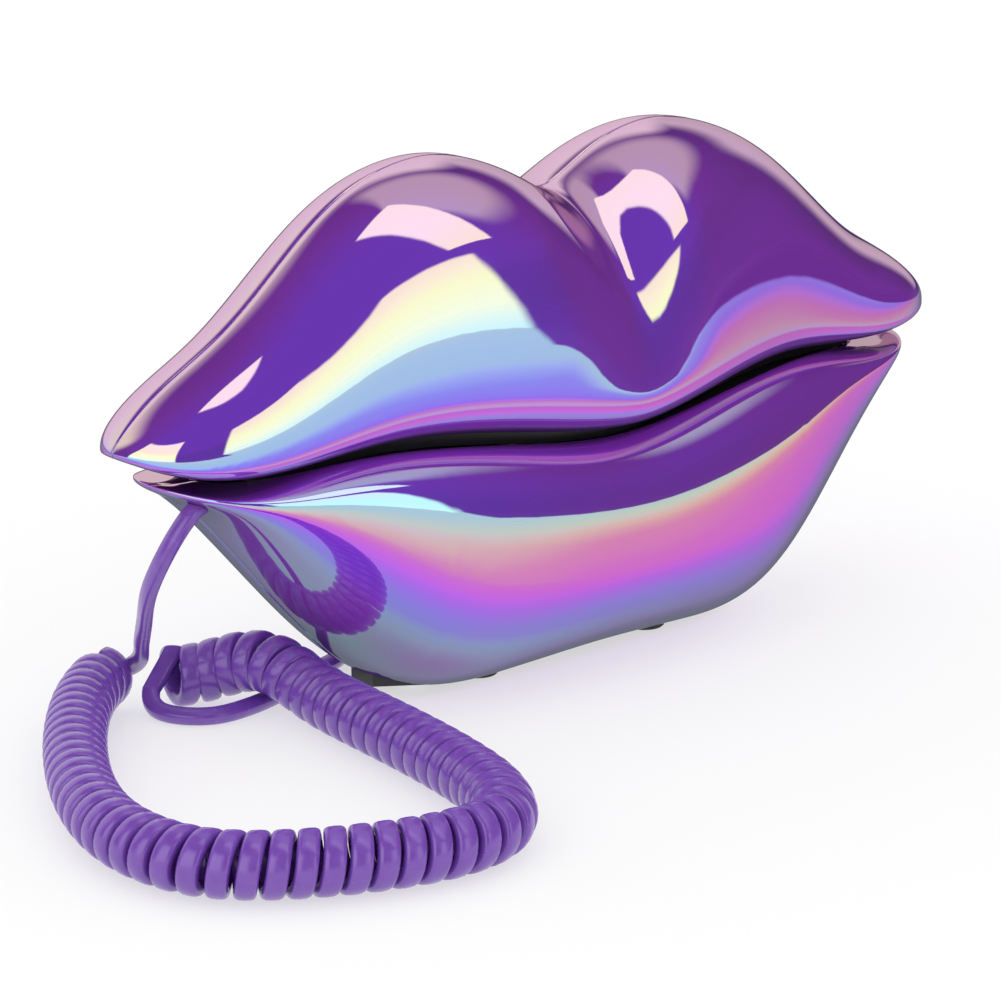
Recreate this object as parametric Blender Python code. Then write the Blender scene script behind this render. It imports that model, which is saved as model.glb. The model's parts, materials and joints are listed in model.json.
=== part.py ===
"""Lips-shaped telephone.

The upper lip is the handset and the lower lip is the base it rests on.
Metres, +Z up. X runs along the lips, -Y is the front.
The origin is on the table under the middle of the base.
"""
import math

import bmesh
import bpy
import numpy as np
from mathutils import Matrix, Vector

# Lip form. A station is a fraction of the half length, from 0 in the middle to 1 at a tip.
PARTING_AT = (0.0, 0.25, 0.5, 0.75, 1.0)
PARTING_Z = (0.0512, 0.0541, 0.0565, 0.0551, 0.0597)
TIP_POWER = 16.0            # how blunt a lip's tip is
REAR_SHARE = 0.79           # depth behind the seam over depth in front of it

HANDSET_HALF_LENGTH = 0.110
HANDSET_HEIGHT_AT = (0.0, 0.07, 0.15, 0.35, 0.55, 0.75, 0.9, 1.0)
HANDSET_HEIGHT = (0.0481, 0.0507, 0.0542, 0.0538, 0.0434, 0.0268, 0.0171, 0.0075)
HANDSET_DEPTH_AT = (0.0, 0.5, 0.85, 1.0)
HANDSET_DEPTH = (0.0340, 0.0248, 0.0191, 0.0169)

BASE_HALF_LENGTH = 0.1016
BASE_HEIGHT_AT = (0.0, 0.25, 0.45, 0.65, 0.8, 0.9, 1.0)
BASE_HEIGHT = (0.0511, 0.0547, 0.0550, 0.0382, 0.0189, 0.0077, 0.0040)
BASE_DEPTH_AT = (0.0, 0.25, 0.5, 0.85, 1.0)
BASE_DEPTH = (0.0355, 0.0347, 0.0307, 0.0213, 0.0189)
ROLL_AT = (0.0, 0.5, 0.8, 1.0)
HANDSET_ROLL = (0.222, 0.222, 0.222, 0.222)     # share of the height between the widest line and the mouth
BASE_ROLL = (0.506, 0.432, 0.273, 0.273)
LIP_GAP_AT = (0.0, 0.5, 0.7, 0.85, 1.0)
LIP_GAP = (-0.0011, -0.0009, -0.0002, 0.0014, 0.0020)   # crest of the lower lip below the parting line
VALLEY_DEPTH = 0.22         # groove down the front of the upper lip, as a share of its depth there
VALLEY_REACH = 0.09         # station at which the groove has mostly faded
VALLEY_SOFTNESS = 0.012

# Shells
WALL = 0.0020
SEAM_GAP = 0.0003
STATIONS = 24               # spans along a lip
RINGS = 8                   # spans from the parting line to the ridge
UPPER_MOUTH_SHARE = 0.70    # depth of the opening between the lips over the lip's depth
LOWER_MOUTH_SHARE = 0.68
MOUTH_END = 0.90            # station where that opening closes
PLATE_INSET = 0.0026        # from the rim of an opening to the plate in it
FACE_END = 0.770            # station where the handset's face plate ends
TRAY_END = 0.80             # the cradle tray ends sooner and leaves room for the lead
FIT_GAP = 0.0003
CUT_MARGIN = 0.0030         # how far a cutter stands out of the face it cuts

# Handset face plate and keys
FACE_DROP = 0.0016          # face of the handset plate below the parting line
FACE_THICKNESS = 0.0055
KEY_PITCH_X = 0.0100
KEY_PITCH_Y = 0.0105
KEY_SIZE = (0.0072, 0.0082)
KEY_CLEARANCE = 0.0004
KEY_PROUD = 0.0012
KEY_TRAVEL = 0.0012
KEY_FLANGE = 0.0008
PAD_Y = -0.0020
KEY_GRID = (("key_1", "key_2", "key_3"), ("key_4", "key_5", "key_6"), ("key_7", "key_8", "key_9"),
            ("key_star", "key_0", "key_hash"), ("key_redial", "key_flash", "key_mute"))
RECEIVER_X = 0.068
RECEIVER_DIAMETER = 0.0260
RECEIVER_FLANGE = 0.0030     # height of the capsule's wide part
RECEIVER_HEIGHT = 0.0075
GASKET_THICKNESS = 0.0012
GASKET_WIDTH = 0.0035
MICROPHONE_X = -0.078
MICROPHONE_RADIUS = 0.0048
MICROPHONE_HEIGHT = 0.0045
BOOT_WALL = 0.0010
BOOT_OPENING = 0.0022
BOOT_HEIGHT = 0.0070
SOUND_HOLE_DIAMETER = 0.0020
SOUND_HOLE_RING = 0.0055
MICROPHONE_HOLE_PITCH = 0.0035
MEMBRANE_SIZE = (0.0550, 0.0330, 0.0012)
HANDSET_BOARD_SIZE = (0.0720, 0.0320, 0.0016)
HANDSET_WEIGHT_SIZE = (0.0400, 0.0220, 0.0050)
HANDSET_BOSS_X = 0.047
HANDSET_BOSS_Y = (-0.0105, 0.0075)
BOSS_RADIUS = 0.0032

# Base
FLAT_Z = 0.0015             # underside of the base above the table
PLATE_THICKNESS = 0.0030
UNDERSIDE_HALF_LENGTH = 0.050
UNDERSIDE_HALF_DEPTH = 0.013
UNDERSIDE_END = 0.98        # where the bottom plate ends, over the half length of its opening
UNDERSIDE_INSET = 0.0015
TRAY_DROP = 0.0020           # face of the tray below the parting line
TRAY_THICKNESS = 0.0045
POCKET_DEPTH = 0.0026        # pocket in the tray that the keys hang into
POCKET_MARGIN = 0.0015
FOOT_DIAMETER = 0.0090
REST_BOSS_DIAMETER = 0.0060  # stands on the table level with the feet, at the origin
FOOT_X = 0.024
FOOT_Y = 0.0075
TRAY_POST_X = 0.040
TRAY_POST_Y = (-0.0055, 0.0035)
TRAY_POST_DIAMETER = 0.0060
HOOK_X = -0.050
HOOK_Y = -0.0020
HOOK_TRAVEL = 0.0040
HOOK_FLOOR_Z = 0.0310
KNOB_X = 0.0090
KNOB_SLOT = 0.0086
KNOB_TRAVEL = 0.0040
PLUNGER_RADIUS = 0.0026
BOARD_Y = -0.0030
BOARD_Z = 0.0140
BASE_BOARD_SIZE = (0.0720, 0.0280, 0.0016)
BALLAST_SIZE = (0.0300, 0.0260, 0.0090)
BALLAST_X = -0.0150
RINGER_X = 0.0180
RINGER_RADIUS = 0.0125
RINGER_HEIGHT = 0.0060
BOARD_POST_X = 0.0330
BOARD_POST_Y = -0.0020
LINE_SOCKET_X = 0.0300
LINE_SOCKET_Z = 0.0270
LINE_SOCKET_SIZE = (0.0120, 0.0100)
LINE_SOCKET_DEPTH = 0.0140
LINE_SOCKET_WALL = 0.0020

# Screws
SCREW_HEAD_DIAMETER = 0.0048
SCREW_HEAD_HEIGHT = 0.0013
SCREW_SHANK_DIAMETER = 0.0022
SCREW_LENGTH = 0.0085
SCREW_BORE_DIAMETER = 0.0029

# Cord
LEAD_RADIUS = 0.0017
LEAD_CLEARANCE = 0.0005     # round the lead where it leaves the base
LEAD_HOLE_LOW = 0.0430      # the hole for the lead lies above this height
COIL_RADIUS = 0.0063
COIL_GROOVE_RADIUS = 0.0054
COIL_TURNS = 62
COIL_Z = 0.0065
CROSSING_RISE = 0.0036      # the coil climbs this much over its own lead
CROSSING_REACH = 0.010

LEAD_ENTRY = (-0.0965, -0.0082, 0.0500)
BASE_PLUG = (-0.0700, -0.0030, 0.0435)
INNER_LEAD = ((-0.0775, -0.0032, 0.0442), (-0.0812, -0.0040, 0.0460), (-0.0850, -0.0050, 0.0480),
              (-0.0905, -0.0066, 0.0497))
NEAR_LEAD = ((-0.1000, -0.0078, 0.0467), (-0.1025, -0.0050, 0.0401), (-0.1022, 0.0000, 0.0327),
             (-0.0978, 0.0080, 0.0237), (-0.0930, 0.0160, 0.0154), (-0.0893, 0.0222, 0.0100),
             (-0.0888, 0.0262, 0.0074))
LOOP = ((-0.0950, 0.0265), (-0.1008, 0.0223), (-0.1142, 0.0085), (-0.1282, -0.0109), (-0.1389, -0.0306),
        (-0.1442, -0.0509), (-0.1408, -0.0682), (-0.1279, -0.0804), (-0.1114, -0.0883), (-0.0985, -0.0908),
        (-0.0890, -0.0885), (-0.0815, -0.0795), (-0.0765, -0.0640), (-0.0730, -0.0425), (-0.0710, -0.0240),
        (-0.0693, -0.0069), (-0.0712, 0.0040), (-0.0765, 0.0128), (-0.0845, 0.0178))
CROSSING = (-0.0712, 0.0040)
FAR_LEAD = ((-0.0890, 0.0185, 0.0045), (-0.0910, 0.0145, 0.0022), (-0.0895, 0.0080, 0.0018),
            (-0.0845, 0.0036, 0.0018), (-0.0779, 0.0030, 0.0018), (-0.0639, 0.0066, 0.0018),
            (-0.0522, 0.0120, 0.0018), (-0.0435, 0.0150, 0.0018), (-0.0370, 0.0220, 0.0026),
            (-0.0330, 0.0310, 0.0070), (-0.0320, 0.0370, 0.0200), (-0.0350, 0.0385, 0.0400),
            (-0.0400, 0.0375, 0.0560))
JACK_HALF_WIDTH = 0.0060     # handset's cord socket and the plug in it
JACK_HALF_HEIGHT = 0.0050
JACK_DEPTH = 0.0051
JACK_WALL = 0.0013
PLUG_HALF_WIDTH = 0.0035
PLUG_HALF_HEIGHT = 0.0030
PLUG_CLEARANCE = 0.0004
CORD_UP_X = -0.0440
CORD_UP_Z = 0.0720

COLOURS = {
    "shell": ((0.20, 0.06, 0.45), 0.12, 0.85),
    "black": ((0.012, 0.012, 0.014), 0.40, 0.0),
    "key": ((0.80, 0.80, 0.82), 0.35, 0.0),
    "rubber": ((0.03, 0.03, 0.03), 0.80, 0.0),
    "cord": ((0.17, 0.05, 0.38), 0.45, 0.0),
    "board": ((0.02, 0.20, 0.07), 0.50, 0.0),
    "steel": ((0.60, 0.60, 0.62), 0.30, 1.0),
    "clear": ((0.75, 0.75, 0.72), 0.20, 0.0),
}


# ---------------------------------------------------------------- curves
def smooth_curve(knots, values, level_start=False):
    """Cubic curve through the values; it starts level if asked, and its free ends run on smoothly."""
    x = np.array(knots)
    y = np.array(values)
    h = np.diff(x)
    n = len(x) - 1
    rows = np.zeros((n + 1, n + 1))
    rhs = np.zeros(n + 1)
    if level_start:
        rows[0, 0:2] = 2 * h[0], h[0]
        rhs[0] = 6 * (y[1] - y[0]) / h[0]
    else:
        rows[0, 0:3] = -h[1], h[0] + h[1], -h[0]
    for i in range(1, n):
        rows[i, i - 1:i + 2] = h[i - 1], 2 * (h[i - 1] + h[i]), h[i]
        rhs[i] = 6 * ((y[i + 1] - y[i]) / h[i] - (y[i] - y[i - 1]) / h[i - 1])
    rows[n, n - 2:n + 1] = -h[n - 1], h[n - 2] + h[n - 1], -h[n - 2]
    bend = np.linalg.solve(rows, rhs)

    def curve(t):
        i = min(max(int(np.searchsorted(x, t)) - 1, 0), n - 1)
        a = (x[i + 1] - t) / h[i]
        b = 1.0 - a
        cubic = ((a ** 3 - a) * bend[i] + (b ** 3 - b) * bend[i + 1]) * h[i] ** 2 / 6
        return float(a * y[i] + b * y[i + 1] + cubic)

    return curve


def smooth_path(points, count):
    """Points at equal steps along a smooth curve through the given points."""
    corners = [Vector(p) for p in points]
    knots = [0.0]
    for a, b in zip(corners, corners[1:]):
        knots.append(knots[-1] + (b - a).length)
    axes = [smooth_curve(knots, [p[k] for p in corners]) for k in range(3)]
    fine = [Vector([axis(t) for axis in axes]) for t in np.linspace(0.0, knots[-1], 12 * len(points))]
    run = [0.0]
    for a, b in zip(fine, fine[1:]):
        run.append(run[-1] + (b - a).length)
    steps = np.linspace(0.0, run[-1], count)
    columns = [np.interp(steps, run, [p[k] for p in fine]) for k in range(3)]
    return [Vector(p) for p in zip(*columns)]


parting_curve = smooth_curve(PARTING_AT, PARTING_Z, level_start=True)


def parting(x):
    """Height of the parting line between the lips at x."""
    return parting_curve(min(abs(x) / HANDSET_HALF_LENGTH, 1.0))


def positive_power(value, power):
    """Power of a value that rounding may have left just below zero."""
    return max(value, 0.0) ** power


class Lip:
    """One lip: closed cross-sections whose outline side bulges and whose mouth side rolls in."""

    def __init__(self, side, half_length, height, depth, gap, roll, outer_power, roll_power, mouth, valley):
        self.side = side
        self.half_length = half_length
        self.height = height
        self.depth = depth
        self.roll = roll
        self.outer_power = outer_power
        self.roll_power = roll_power
        self.gap = gap
        self.mouth = mouth
        self.valley = valley

    def end_factor(self, u):
        return math.sqrt(max(0.0, 1.0 - abs(u) ** TIP_POWER))

    def half_depth(self, u, facing):
        share = REAR_SHARE if facing > 0 else 1.0
        return self.depth(abs(u)) * share

    def mouth_z(self, u):
        return parting(u * self.half_length) - self.gap(abs(u))

    def point(self, u, angle, facing, wall=0.0):
        """Surface point; angle runs from -90 degrees at the parting line to +90 at the ridge."""
        end = self.end_factor(u)
        height = self.height(abs(u))
        rolled = self.roll(abs(u)) * height
        power = self.outer_power if angle >= 0 else self.roll_power
        across = positive_power(math.cos(angle), 2.0 / power)
        along = positive_power(abs(math.sin(angle)), 2.0 / power)
        if angle >= 0:
            lift = (height - rolled - wall) * along * end
        else:
            lift = -(rolled - min(wall, 0.6 * rolled)) * along * end
        across *= 1.0 - self.groove(u, angle, facing)
        y = facing * ((self.half_depth(u, facing) - wall) * across * end + SEAM_GAP / 2)
        z = self.mouth_z(u) + self.side * (rolled + lift)
        if self.side < 0:
            z = max(z, FLAT_Z + wall)
        return Vector(((self.half_length - wall) * u, y, z))

    def groove(self, u, angle, facing):
        """Share of the depth lost to the groove in the middle of the front, deepest at the ridge."""
        if facing > 0 or angle < 0:
            return 0.0
        fade = math.exp(-math.hypot(u, VALLEY_SOFTNESS) / VALLEY_REACH)
        return self.valley * fade * positive_power(math.sin(angle), 1.5)

    def mouth_angle(self, u):
        """Angle of the rim of the opening that faces the other lip."""
        return -math.acos(positive_power(self.mouth_share(u), self.roll_power / 2.0))

    def mouth_share(self, u):
        return self.mouth * math.sqrt(max(0.0, 1.0 - (abs(u) / MOUTH_END) ** 8))

    def underside_angle(self, u, facing):
        """Angle of the rim of the opening in the underside; 90 degrees where there is none."""
        open_y = underside_half_depth(u * self.half_length)
        if open_y <= 0:
            return math.pi / 2
        share = open_y / (self.half_depth(u, facing) * self.end_factor(u))
        return math.acos(positive_power(share, self.outer_power / 2.0))

    def surface_point(self, x, facing, is_short):
        """Outer surface point at x, the first past the widest line for which is_short(point) is false."""
        low, high = 0.0, math.pi / 2
        u = x / self.half_length
        for _ in range(40):
            middle = (low + high) / 2
            if is_short(self.point(u, middle, facing)):
                low = middle
            else:
                high = middle
        return self.point(u, low, facing)

    def wall_y(self, x, z, facing):
        """Y of the outer surface at x and z, between the widest line and the ridge."""
        return self.surface_point(x, facing, lambda p: self.side * (p.z - z) < 0).y

    def ridge_z(self, x, y, facing):
        """Z of the outer surface at x and y, between the widest line and the ridge."""
        return self.surface_point(x, facing, lambda p: abs(p.y) > abs(y)).z


def underside_half_depth(x):
    return UNDERSIDE_HALF_DEPTH * math.sqrt(max(0.0, 1.0 - (abs(x) / UNDERSIDE_HALF_LENGTH) ** 8))


UPPER = Lip(1, HANDSET_HALF_LENGTH, smooth_curve(HANDSET_HEIGHT_AT, HANDSET_HEIGHT, True),
            smooth_curve(HANDSET_DEPTH_AT, HANDSET_DEPTH, True), lambda u: 0.0,
            smooth_curve(ROLL_AT, HANDSET_ROLL, True), 2.36, 3.2, UPPER_MOUTH_SHARE, VALLEY_DEPTH)
LOWER = Lip(-1, BASE_HALF_LENGTH, smooth_curve(BASE_HEIGHT_AT, BASE_HEIGHT, True),
            smooth_curve(BASE_DEPTH_AT, BASE_DEPTH, True), smooth_curve(LIP_GAP_AT, LIP_GAP, True),
            smooth_curve(ROLL_AT, BASE_ROLL, True), 2.14, 3.84, LOWER_MOUTH_SHARE, 0.0)


def stations(extra=()):
    """Stations from tip to tip, closer together towards the tips."""
    even = [math.sin(math.pi * (i / STATIONS - 0.5)) for i in range(STATIONS + 1)]
    both = [s * e for e in extra for s in (-1, 1)]
    return sorted(even + both)


# ---------------------------------------------------------------- objects
def material(slot):
    name = "mat_" + slot
    if name in bpy.data.materials:
        return bpy.data.materials[name]
    colour, roughness, metallic = COLOURS[slot]
    mat = bpy.data.materials.new(name)
    mat.use_nodes = True
    bsdf = mat.node_tree.nodes["Principled BSDF"]
    bsdf.inputs["Base Color"].default_value = (*colour, 1.0)
    bsdf.inputs["Roughness"].default_value = roughness
    bsdf.inputs["Metallic"].default_value = metallic
    mat.diffuse_color = (*colour, 1.0)
    return mat


def make(name, bm, slot, location=(0.0, 0.0, 0.0), smooth=True):
    """Turn a bmesh into a named object with consistent outward faces."""
    bmesh.ops.recalc_face_normals(bm, faces=bm.faces)
    mesh = bpy.data.meshes.new(name)
    bm.to_mesh(mesh)
    bm.free()
    if smooth:
        mesh.shade_smooth()
        mesh.set_sharp_from_angle(angle=math.radians(35))
    mesh.materials.append(material(slot))
    obj = bpy.data.objects.new(name, mesh)
    obj.location = location
    bpy.context.scene.collection.objects.link(obj)
    return obj


def bool_mod(obj, cutter, operation):
    mod = obj.modifiers.new(operation.lower() + "_" + cutter.name, "BOOLEAN")
    mod.operation = operation
    mod.object = cutter
    mod.solver = "EXACT"
    cutter.hide_render = True
    cutter.display_type = "WIRE"


def cut(obj, cutter):
    bool_mod(obj, cutter, "DIFFERENCE")


def join(obj, extra):
    bool_mod(obj, extra, "UNION")


def put_on(obj, empty):
    """Hang an object that is modelled in place on an empty at its joint."""
    obj.parent = empty
    obj.matrix_parent_inverse = Matrix.Translation(empty.location).inverted()


def joint_empty(name, location, parent=None):
    empty = bpy.data.objects.new(name, None)
    empty.location = location
    bpy.context.scene.collection.objects.link(empty)
    if parent:
        put_on(empty, parent)
    return empty


# ---------------------------------------------------------------- shapes
def add_cylinder(bm, radius, low, high, x=0.0, y=0.0, sides=20):
    """Capped upright cylinder between two heights."""
    made = bmesh.ops.create_cone(bm, cap_ends=True, segments=sides, radius1=radius, radius2=radius,
                                 depth=high - low)
    bmesh.ops.transform(bm, matrix=Matrix.Translation((x, y, (low + high) / 2)), verts=made["verts"])


def add_box(bm, low, high):
    made = bmesh.ops.create_cube(bm, size=1.0)
    size = [b - a for a, b in zip(low, high)]
    middle = [(a + b) / 2 for a, b in zip(low, high)]
    matrix = Matrix.Translation(middle) @ Matrix.Diagonal((*size, 1.0))
    bmesh.ops.transform(bm, matrix=matrix, verts=made["verts"])


def box(name, low, high, slot, bevel=0.0005):
    bm = bmesh.new()
    add_box(bm, low, high)
    if bevel:
        bmesh.ops.bevel(bm, geom=bm.edges[:], offset=bevel, segments=1, affect="EDGES")
    return make(name, bm, slot)


def cylinder(name, radius, low, high, slot, x=0.0, y=0.0, sides=20):
    bm = bmesh.new()
    add_cylinder(bm, radius, low, high, x, y, sides)
    return make(name, bm, slot)


def turned(name, profile, slot, x=0.0, y=0.0, sides=20, ring=False):
    """Solid of revolution about Z through (radius, z) points; a ring's profile closes on itself."""
    bm = bmesh.new()
    rings = []
    for radius, z in profile:
        if radius == 0:
            rings.append([bm.verts.new((x, y, z))])
            continue
        spin = [2 * math.pi * i / sides for i in range(sides)]
        rings.append([bm.verts.new((x + radius * math.cos(a), y + radius * math.sin(a), z)) for a in spin])
    pairs = list(zip(rings, rings[1:]))
    if ring:
        pairs.append((rings[-1], rings[0]))
    for low, high in pairs:
        for i in range(sides):
            j = (i + 1) % sides
            corners = [low[i % len(low)], low[j % len(low)], high[j % len(high)], high[i % len(high)]]
            bm.faces.new(list(dict.fromkeys(corners)))
    return make(name, bm, slot)


def rounded_loop(half_x, half_y, radius, z, steps=2):
    points = []
    corners = ((1, 1, 0), (-1, 1, 90), (-1, -1, 180), (1, -1, 270))
    for sx, sy, start in corners:
        for k in range(steps + 1):
            a = math.radians(start + 90 * k / steps)
            points.append((sx * (half_x - radius) + radius * math.cos(a),
                           sy * (half_y - radius) + radius * math.sin(a), z))
    return points


def stacked(name, levels, slot, location=(0.0, 0.0, 0.0)):
    """Solid through rounded rectangles; a level is (half_x, half_y, corner_radius, z)."""
    bm = bmesh.new()
    rings = [[bm.verts.new(p) for p in rounded_loop(*level)] for level in levels]
    count = len(rings[0])
    for low, high in zip(rings, rings[1:]):
        for i in range(count):
            j = (i + 1) % count
            bm.faces.new((low[i], low[j], high[j], high[i]))
    bm.faces.new(rings[0][::-1])
    bm.faces.new(rings[-1])
    return make(name, bm, slot, location)


def sweep(name, path, radii, sides, slot):
    """Tube along a path with its own radius at each point and flat ends."""
    bm = bmesh.new()
    side = Vector((0.0, 0.0, 1.0))
    rings = []
    for i, centre in enumerate(path):
        ahead = (path[min(i + 1, len(path) - 1)] - path[max(i - 1, 0)]).normalized()
        side = (side - ahead * side.dot(ahead)).normalized()
        other = ahead.cross(side)
        spin = [2 * math.pi * k / sides for k in range(sides)]
        outs = [math.cos(a) * side + math.sin(a) * other for a in spin]
        rings.append([bm.verts.new(centre + radii[i] * out) for out in outs])
    for low, high in zip(rings, rings[1:]):
        for k in range(sides):
            j = (k + 1) % sides
            bm.faces.new((low[k], low[j], high[j], high[k]))
    bm.faces.new(rings[0][::-1])
    bm.faces.new(rings[-1])
    return make(name, bm, slot)


def curved_slab(name, xs, y_front, y_rear, z_low, z_high, slot):
    """Plate whose upper and lower faces follow curves of x; straight across in y."""
    bm = bmesh.new()
    rings = []
    for x in xs:
        corners = ((y_front(x), z_low(x)), (y_rear(x), z_low(x)),
                   (y_rear(x), z_high(x)), (y_front(x), z_high(x)))
        rings.append([bm.verts.new((x, y, z)) for y, z in corners])
    for left, right in zip(rings, rings[1:]):
        for k in range(4):
            j = (k + 1) % 4
            bm.faces.new((left[k], left[j], right[j], right[k]))
    bm.faces.new(rings[0][::-1])
    bm.faces.new(rings[-1])
    return make(name, bm, slot, smooth=False)


def half_shell(name, lip, facing, spans):
    """Front or rear half of a lip: outer and inner skins joined along every rim."""
    bm = bmesh.new()
    skins = []
    for wall in (0.0, WALL):
        rows = []
        for u in spans:
            if abs(u) == 1.0:
                pole = bm.verts.new(lip.point(u, 0.0, facing, wall))
                rows.append([pole] * (RINGS + 1))
                continue
            first = lip.mouth_angle(u)
            last = lip.underside_angle(u, facing) if lip.side < 0 else math.pi / 2
            steps = [first + (last - first) * k / RINGS for k in range(RINGS + 1)]
            rows.append([bm.verts.new(lip.point(u, a, facing, wall)) for a in steps])
        skins.append(rows)
        for left, right in zip(rows, rows[1:]):
            for k in range(RINGS):
                patch = [left[k], right[k], right[k + 1], left[k + 1]]
                bm.faces.new(list(dict.fromkeys(patch)))
    outer, inner = skins
    for i in range(len(spans) - 1):
        for k in (0, RINGS):
            rim = [outer[i][k], outer[i + 1][k], inner[i + 1][k], inner[i][k]]
            bm.faces.new(list(dict.fromkeys(rim)))
    bmesh.ops.triangulate(bm, faces=[f for f in bm.faces if len(f.verts) > 3])
    return make(name, bm, "shell")


def mouth_edge(lip, facing):
    """Y of a mouth plate's edge as a function of x."""
    def edge(x):
        u = x / lip.half_length
        reach = lip.mouth_share(u) * lip.half_depth(u, facing) * lip.end_factor(u)
        return facing * max(reach - PLATE_INSET, 0.001)
    return edge


def mouth_stations(lip, end):
    return [u * lip.half_length for u in stations((end,)) if abs(u) <= end]


def screw(name, x, y, head_z):
    """Pan-head screw with its shank pointing up from the head."""
    head = SCREW_HEAD_DIAMETER / 2
    shank = SCREW_SHANK_DIAMETER / 2
    profile = [(0.0, 0.0), (head * 0.7, 0.0), (head, 0.4 * SCREW_HEAD_HEIGHT), (head, SCREW_HEAD_HEIGHT),
               (shank, SCREW_HEAD_HEIGHT), (shank, SCREW_LENGTH - shank), (0.0, SCREW_LENGTH)]
    return turned(name, [(r, head_z + z) for r, z in profile], "steel", x, y, sides=12)


def cut_screw_seats(plate, places, face_z):
    """Cut a through bore and a recess for the head at each screw; face_z gives the outside face at x."""
    bores = bmesh.new()
    seats = bmesh.new()
    for x, y in places:
        outside = face_z(x) - CUT_MARGIN
        seat = face_z(x) + SCREW_HEAD_HEIGHT + FIT_GAP
        add_cylinder(bores, SCREW_BORE_DIAMETER / 2, outside, face_z(x) + SCREW_LENGTH, x, y, 12)
        add_cylinder(seats, SCREW_HEAD_DIAMETER / 2 + FIT_GAP, outside, seat, x, y, 16)
    cut(plate, make("tool_bores_" + plate.name, bores, "black"))
    cut(plate, make("tool_seats_" + plate.name, seats, "black"))


# ---------------------------------------------------------------- handset
def face_low(x):
    return parting(x) - FACE_DROP


def face_high(x):
    return face_low(x) + FACE_THICKNESS


def key_place(row, column):
    x = KEY_PITCH_X * (row - (len(KEY_GRID) - 1) / 2)
    y = PAD_Y + KEY_PITCH_Y * (column - 1)
    return x, y


def all_keys():
    return [(name, *key_place(row, column))
            for row, names in enumerate(KEY_GRID) for column, name in enumerate(names)]


def handset_shells():
    """Front and rear halves with two screw bosses each."""
    halves = []
    for name, facing, boss_y in (("handset_front_shell", -1, HANDSET_BOSS_Y[0]),
                                 ("handset_rear_shell", 1, HANDSET_BOSS_Y[1])):
        shell = half_shell(name, UPPER, facing, stations((FACE_END,)))
        for tag, x in (("left", -HANDSET_BOSS_X), ("right", HANDSET_BOSS_X)):
            low = max(face_high(x - BOSS_RADIUS), face_high(x + BOSS_RADIUS)) + FIT_GAP
            corners = [(x + BOSS_RADIUS * i, boss_y + BOSS_RADIUS * j) for i in (-1, 1) for j in (-1, 1)]
            high = min(UPPER.ridge_z(*corner, facing) for corner in corners) - WALL / 4
            boss = cylinder("tool_boss_%s_%s" % (name, tag), BOSS_RADIUS, low, high, "shell", x, boss_y, 12)
            bore = cylinder("tool_bore_%s_%s" % (name, tag), SCREW_BORE_DIAMETER / 2, low - 0.001,
                            low + SCREW_LENGTH, "shell", x, boss_y, 12)
            join(shell, boss)
            cut(shell, bore)
        halves.append(shell)
    return halves


def handset_face_plate():
    """Black inner face with the key, sound and screw openings."""
    plate = curved_slab("handset_face_plate", mouth_stations(UPPER, FACE_END), mouth_edge(UPPER, -1),
                        mouth_edge(UPPER, 1), face_low, face_high, "black")
    low = PARTING_Z[0] - FACE_DROP - CUT_MARGIN
    high = max(PARTING_Z) - FACE_DROP + FACE_THICKNESS + CUT_MARGIN
    keys = bmesh.new()
    half = [s / 2 + KEY_CLEARANCE for s in KEY_SIZE]
    for _, x, y in all_keys():
        add_box(keys, (x - half[0], y - half[1], low), (x + half[0], y + half[1], high))
    cut(plate, make("tool_key_openings", keys, "black"))
    holes = bmesh.new()
    radius = SOUND_HOLE_DIAMETER / 2
    add_cylinder(holes, radius, low, high, RECEIVER_X, PAD_Y, 8)
    for k in range(6):
        a = math.radians(60 * k)
        x = RECEIVER_X + SOUND_HOLE_RING * math.cos(a)
        y = PAD_Y + SOUND_HOLE_RING * math.sin(a)
        add_cylinder(holes, radius, low, high, x, y, 8)
    for k in (-1, 0, 1):
        add_cylinder(holes, radius, low, high, MICROPHONE_X, PAD_Y + MICROPHONE_HOLE_PITCH * k, 8)
    cut(plate, make("tool_sound_holes", holes, "black"))
    cut_screw_seats(plate, handset_screw_places(), face_low)
    return plate


def key_cap(name, x, y):
    """Key with a flange behind the face plate; it hangs on an empty on its line of travel."""
    low = face_low(x) - KEY_PROUD
    hx, hy = KEY_SIZE[0] / 2, KEY_SIZE[1] / 2
    seat = max(face_high(x - hx), face_high(x + hx)) + KEY_CLEARANCE - low
    round_off = 0.0006
    corner = 0.0014
    levels = [(hx - round_off, hy - round_off, corner, 0.0), (hx, hy, corner, round_off),
              (hx, hy, corner, seat),
              (hx + KEY_FLANGE, hy + KEY_FLANGE, corner, seat),
              (hx + KEY_FLANGE, hy + KEY_FLANGE, corner, seat + KEY_FLANGE)]
    return stacked(name, levels, "key", (x, y, low))


def key_stack_z():
    """Height above the keys where the flat key membrane lies."""
    far_x, _ = key_place(0, 0)
    return face_high(far_x - KEY_SIZE[0] / 2) + KEY_CLEARANCE + KEY_FLANGE + KEY_TRAVEL + 2 * FIT_GAP


def receiver():
    """Foam gasket and receiver capsule over the sound holes."""
    radius = RECEIVER_DIAMETER / 2
    outer = radius - 0.001
    inner = outer - GASKET_WIDTH
    low = face_high(RECEIVER_X - radius) + FIT_GAP
    high = low + GASKET_THICKNESS
    gasket = turned("receiver_gasket", [(inner, low), (outer, low), (outer, high), (inner, high)],
                    "rubber", RECEIVER_X, PAD_Y, 24, ring=True)
    low = high + FIT_GAP
    magnet = 0.7 * radius
    profile = [(0, low), (radius, low), (radius, low + RECEIVER_FLANGE),
               (magnet, low + RECEIVER_FLANGE + 0.001),
               (magnet, low + RECEIVER_HEIGHT), (0, low + RECEIVER_HEIGHT)]
    return [gasket, turned("receiver_capsule", profile, "clear", RECEIVER_X, PAD_Y, 24)]


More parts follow.
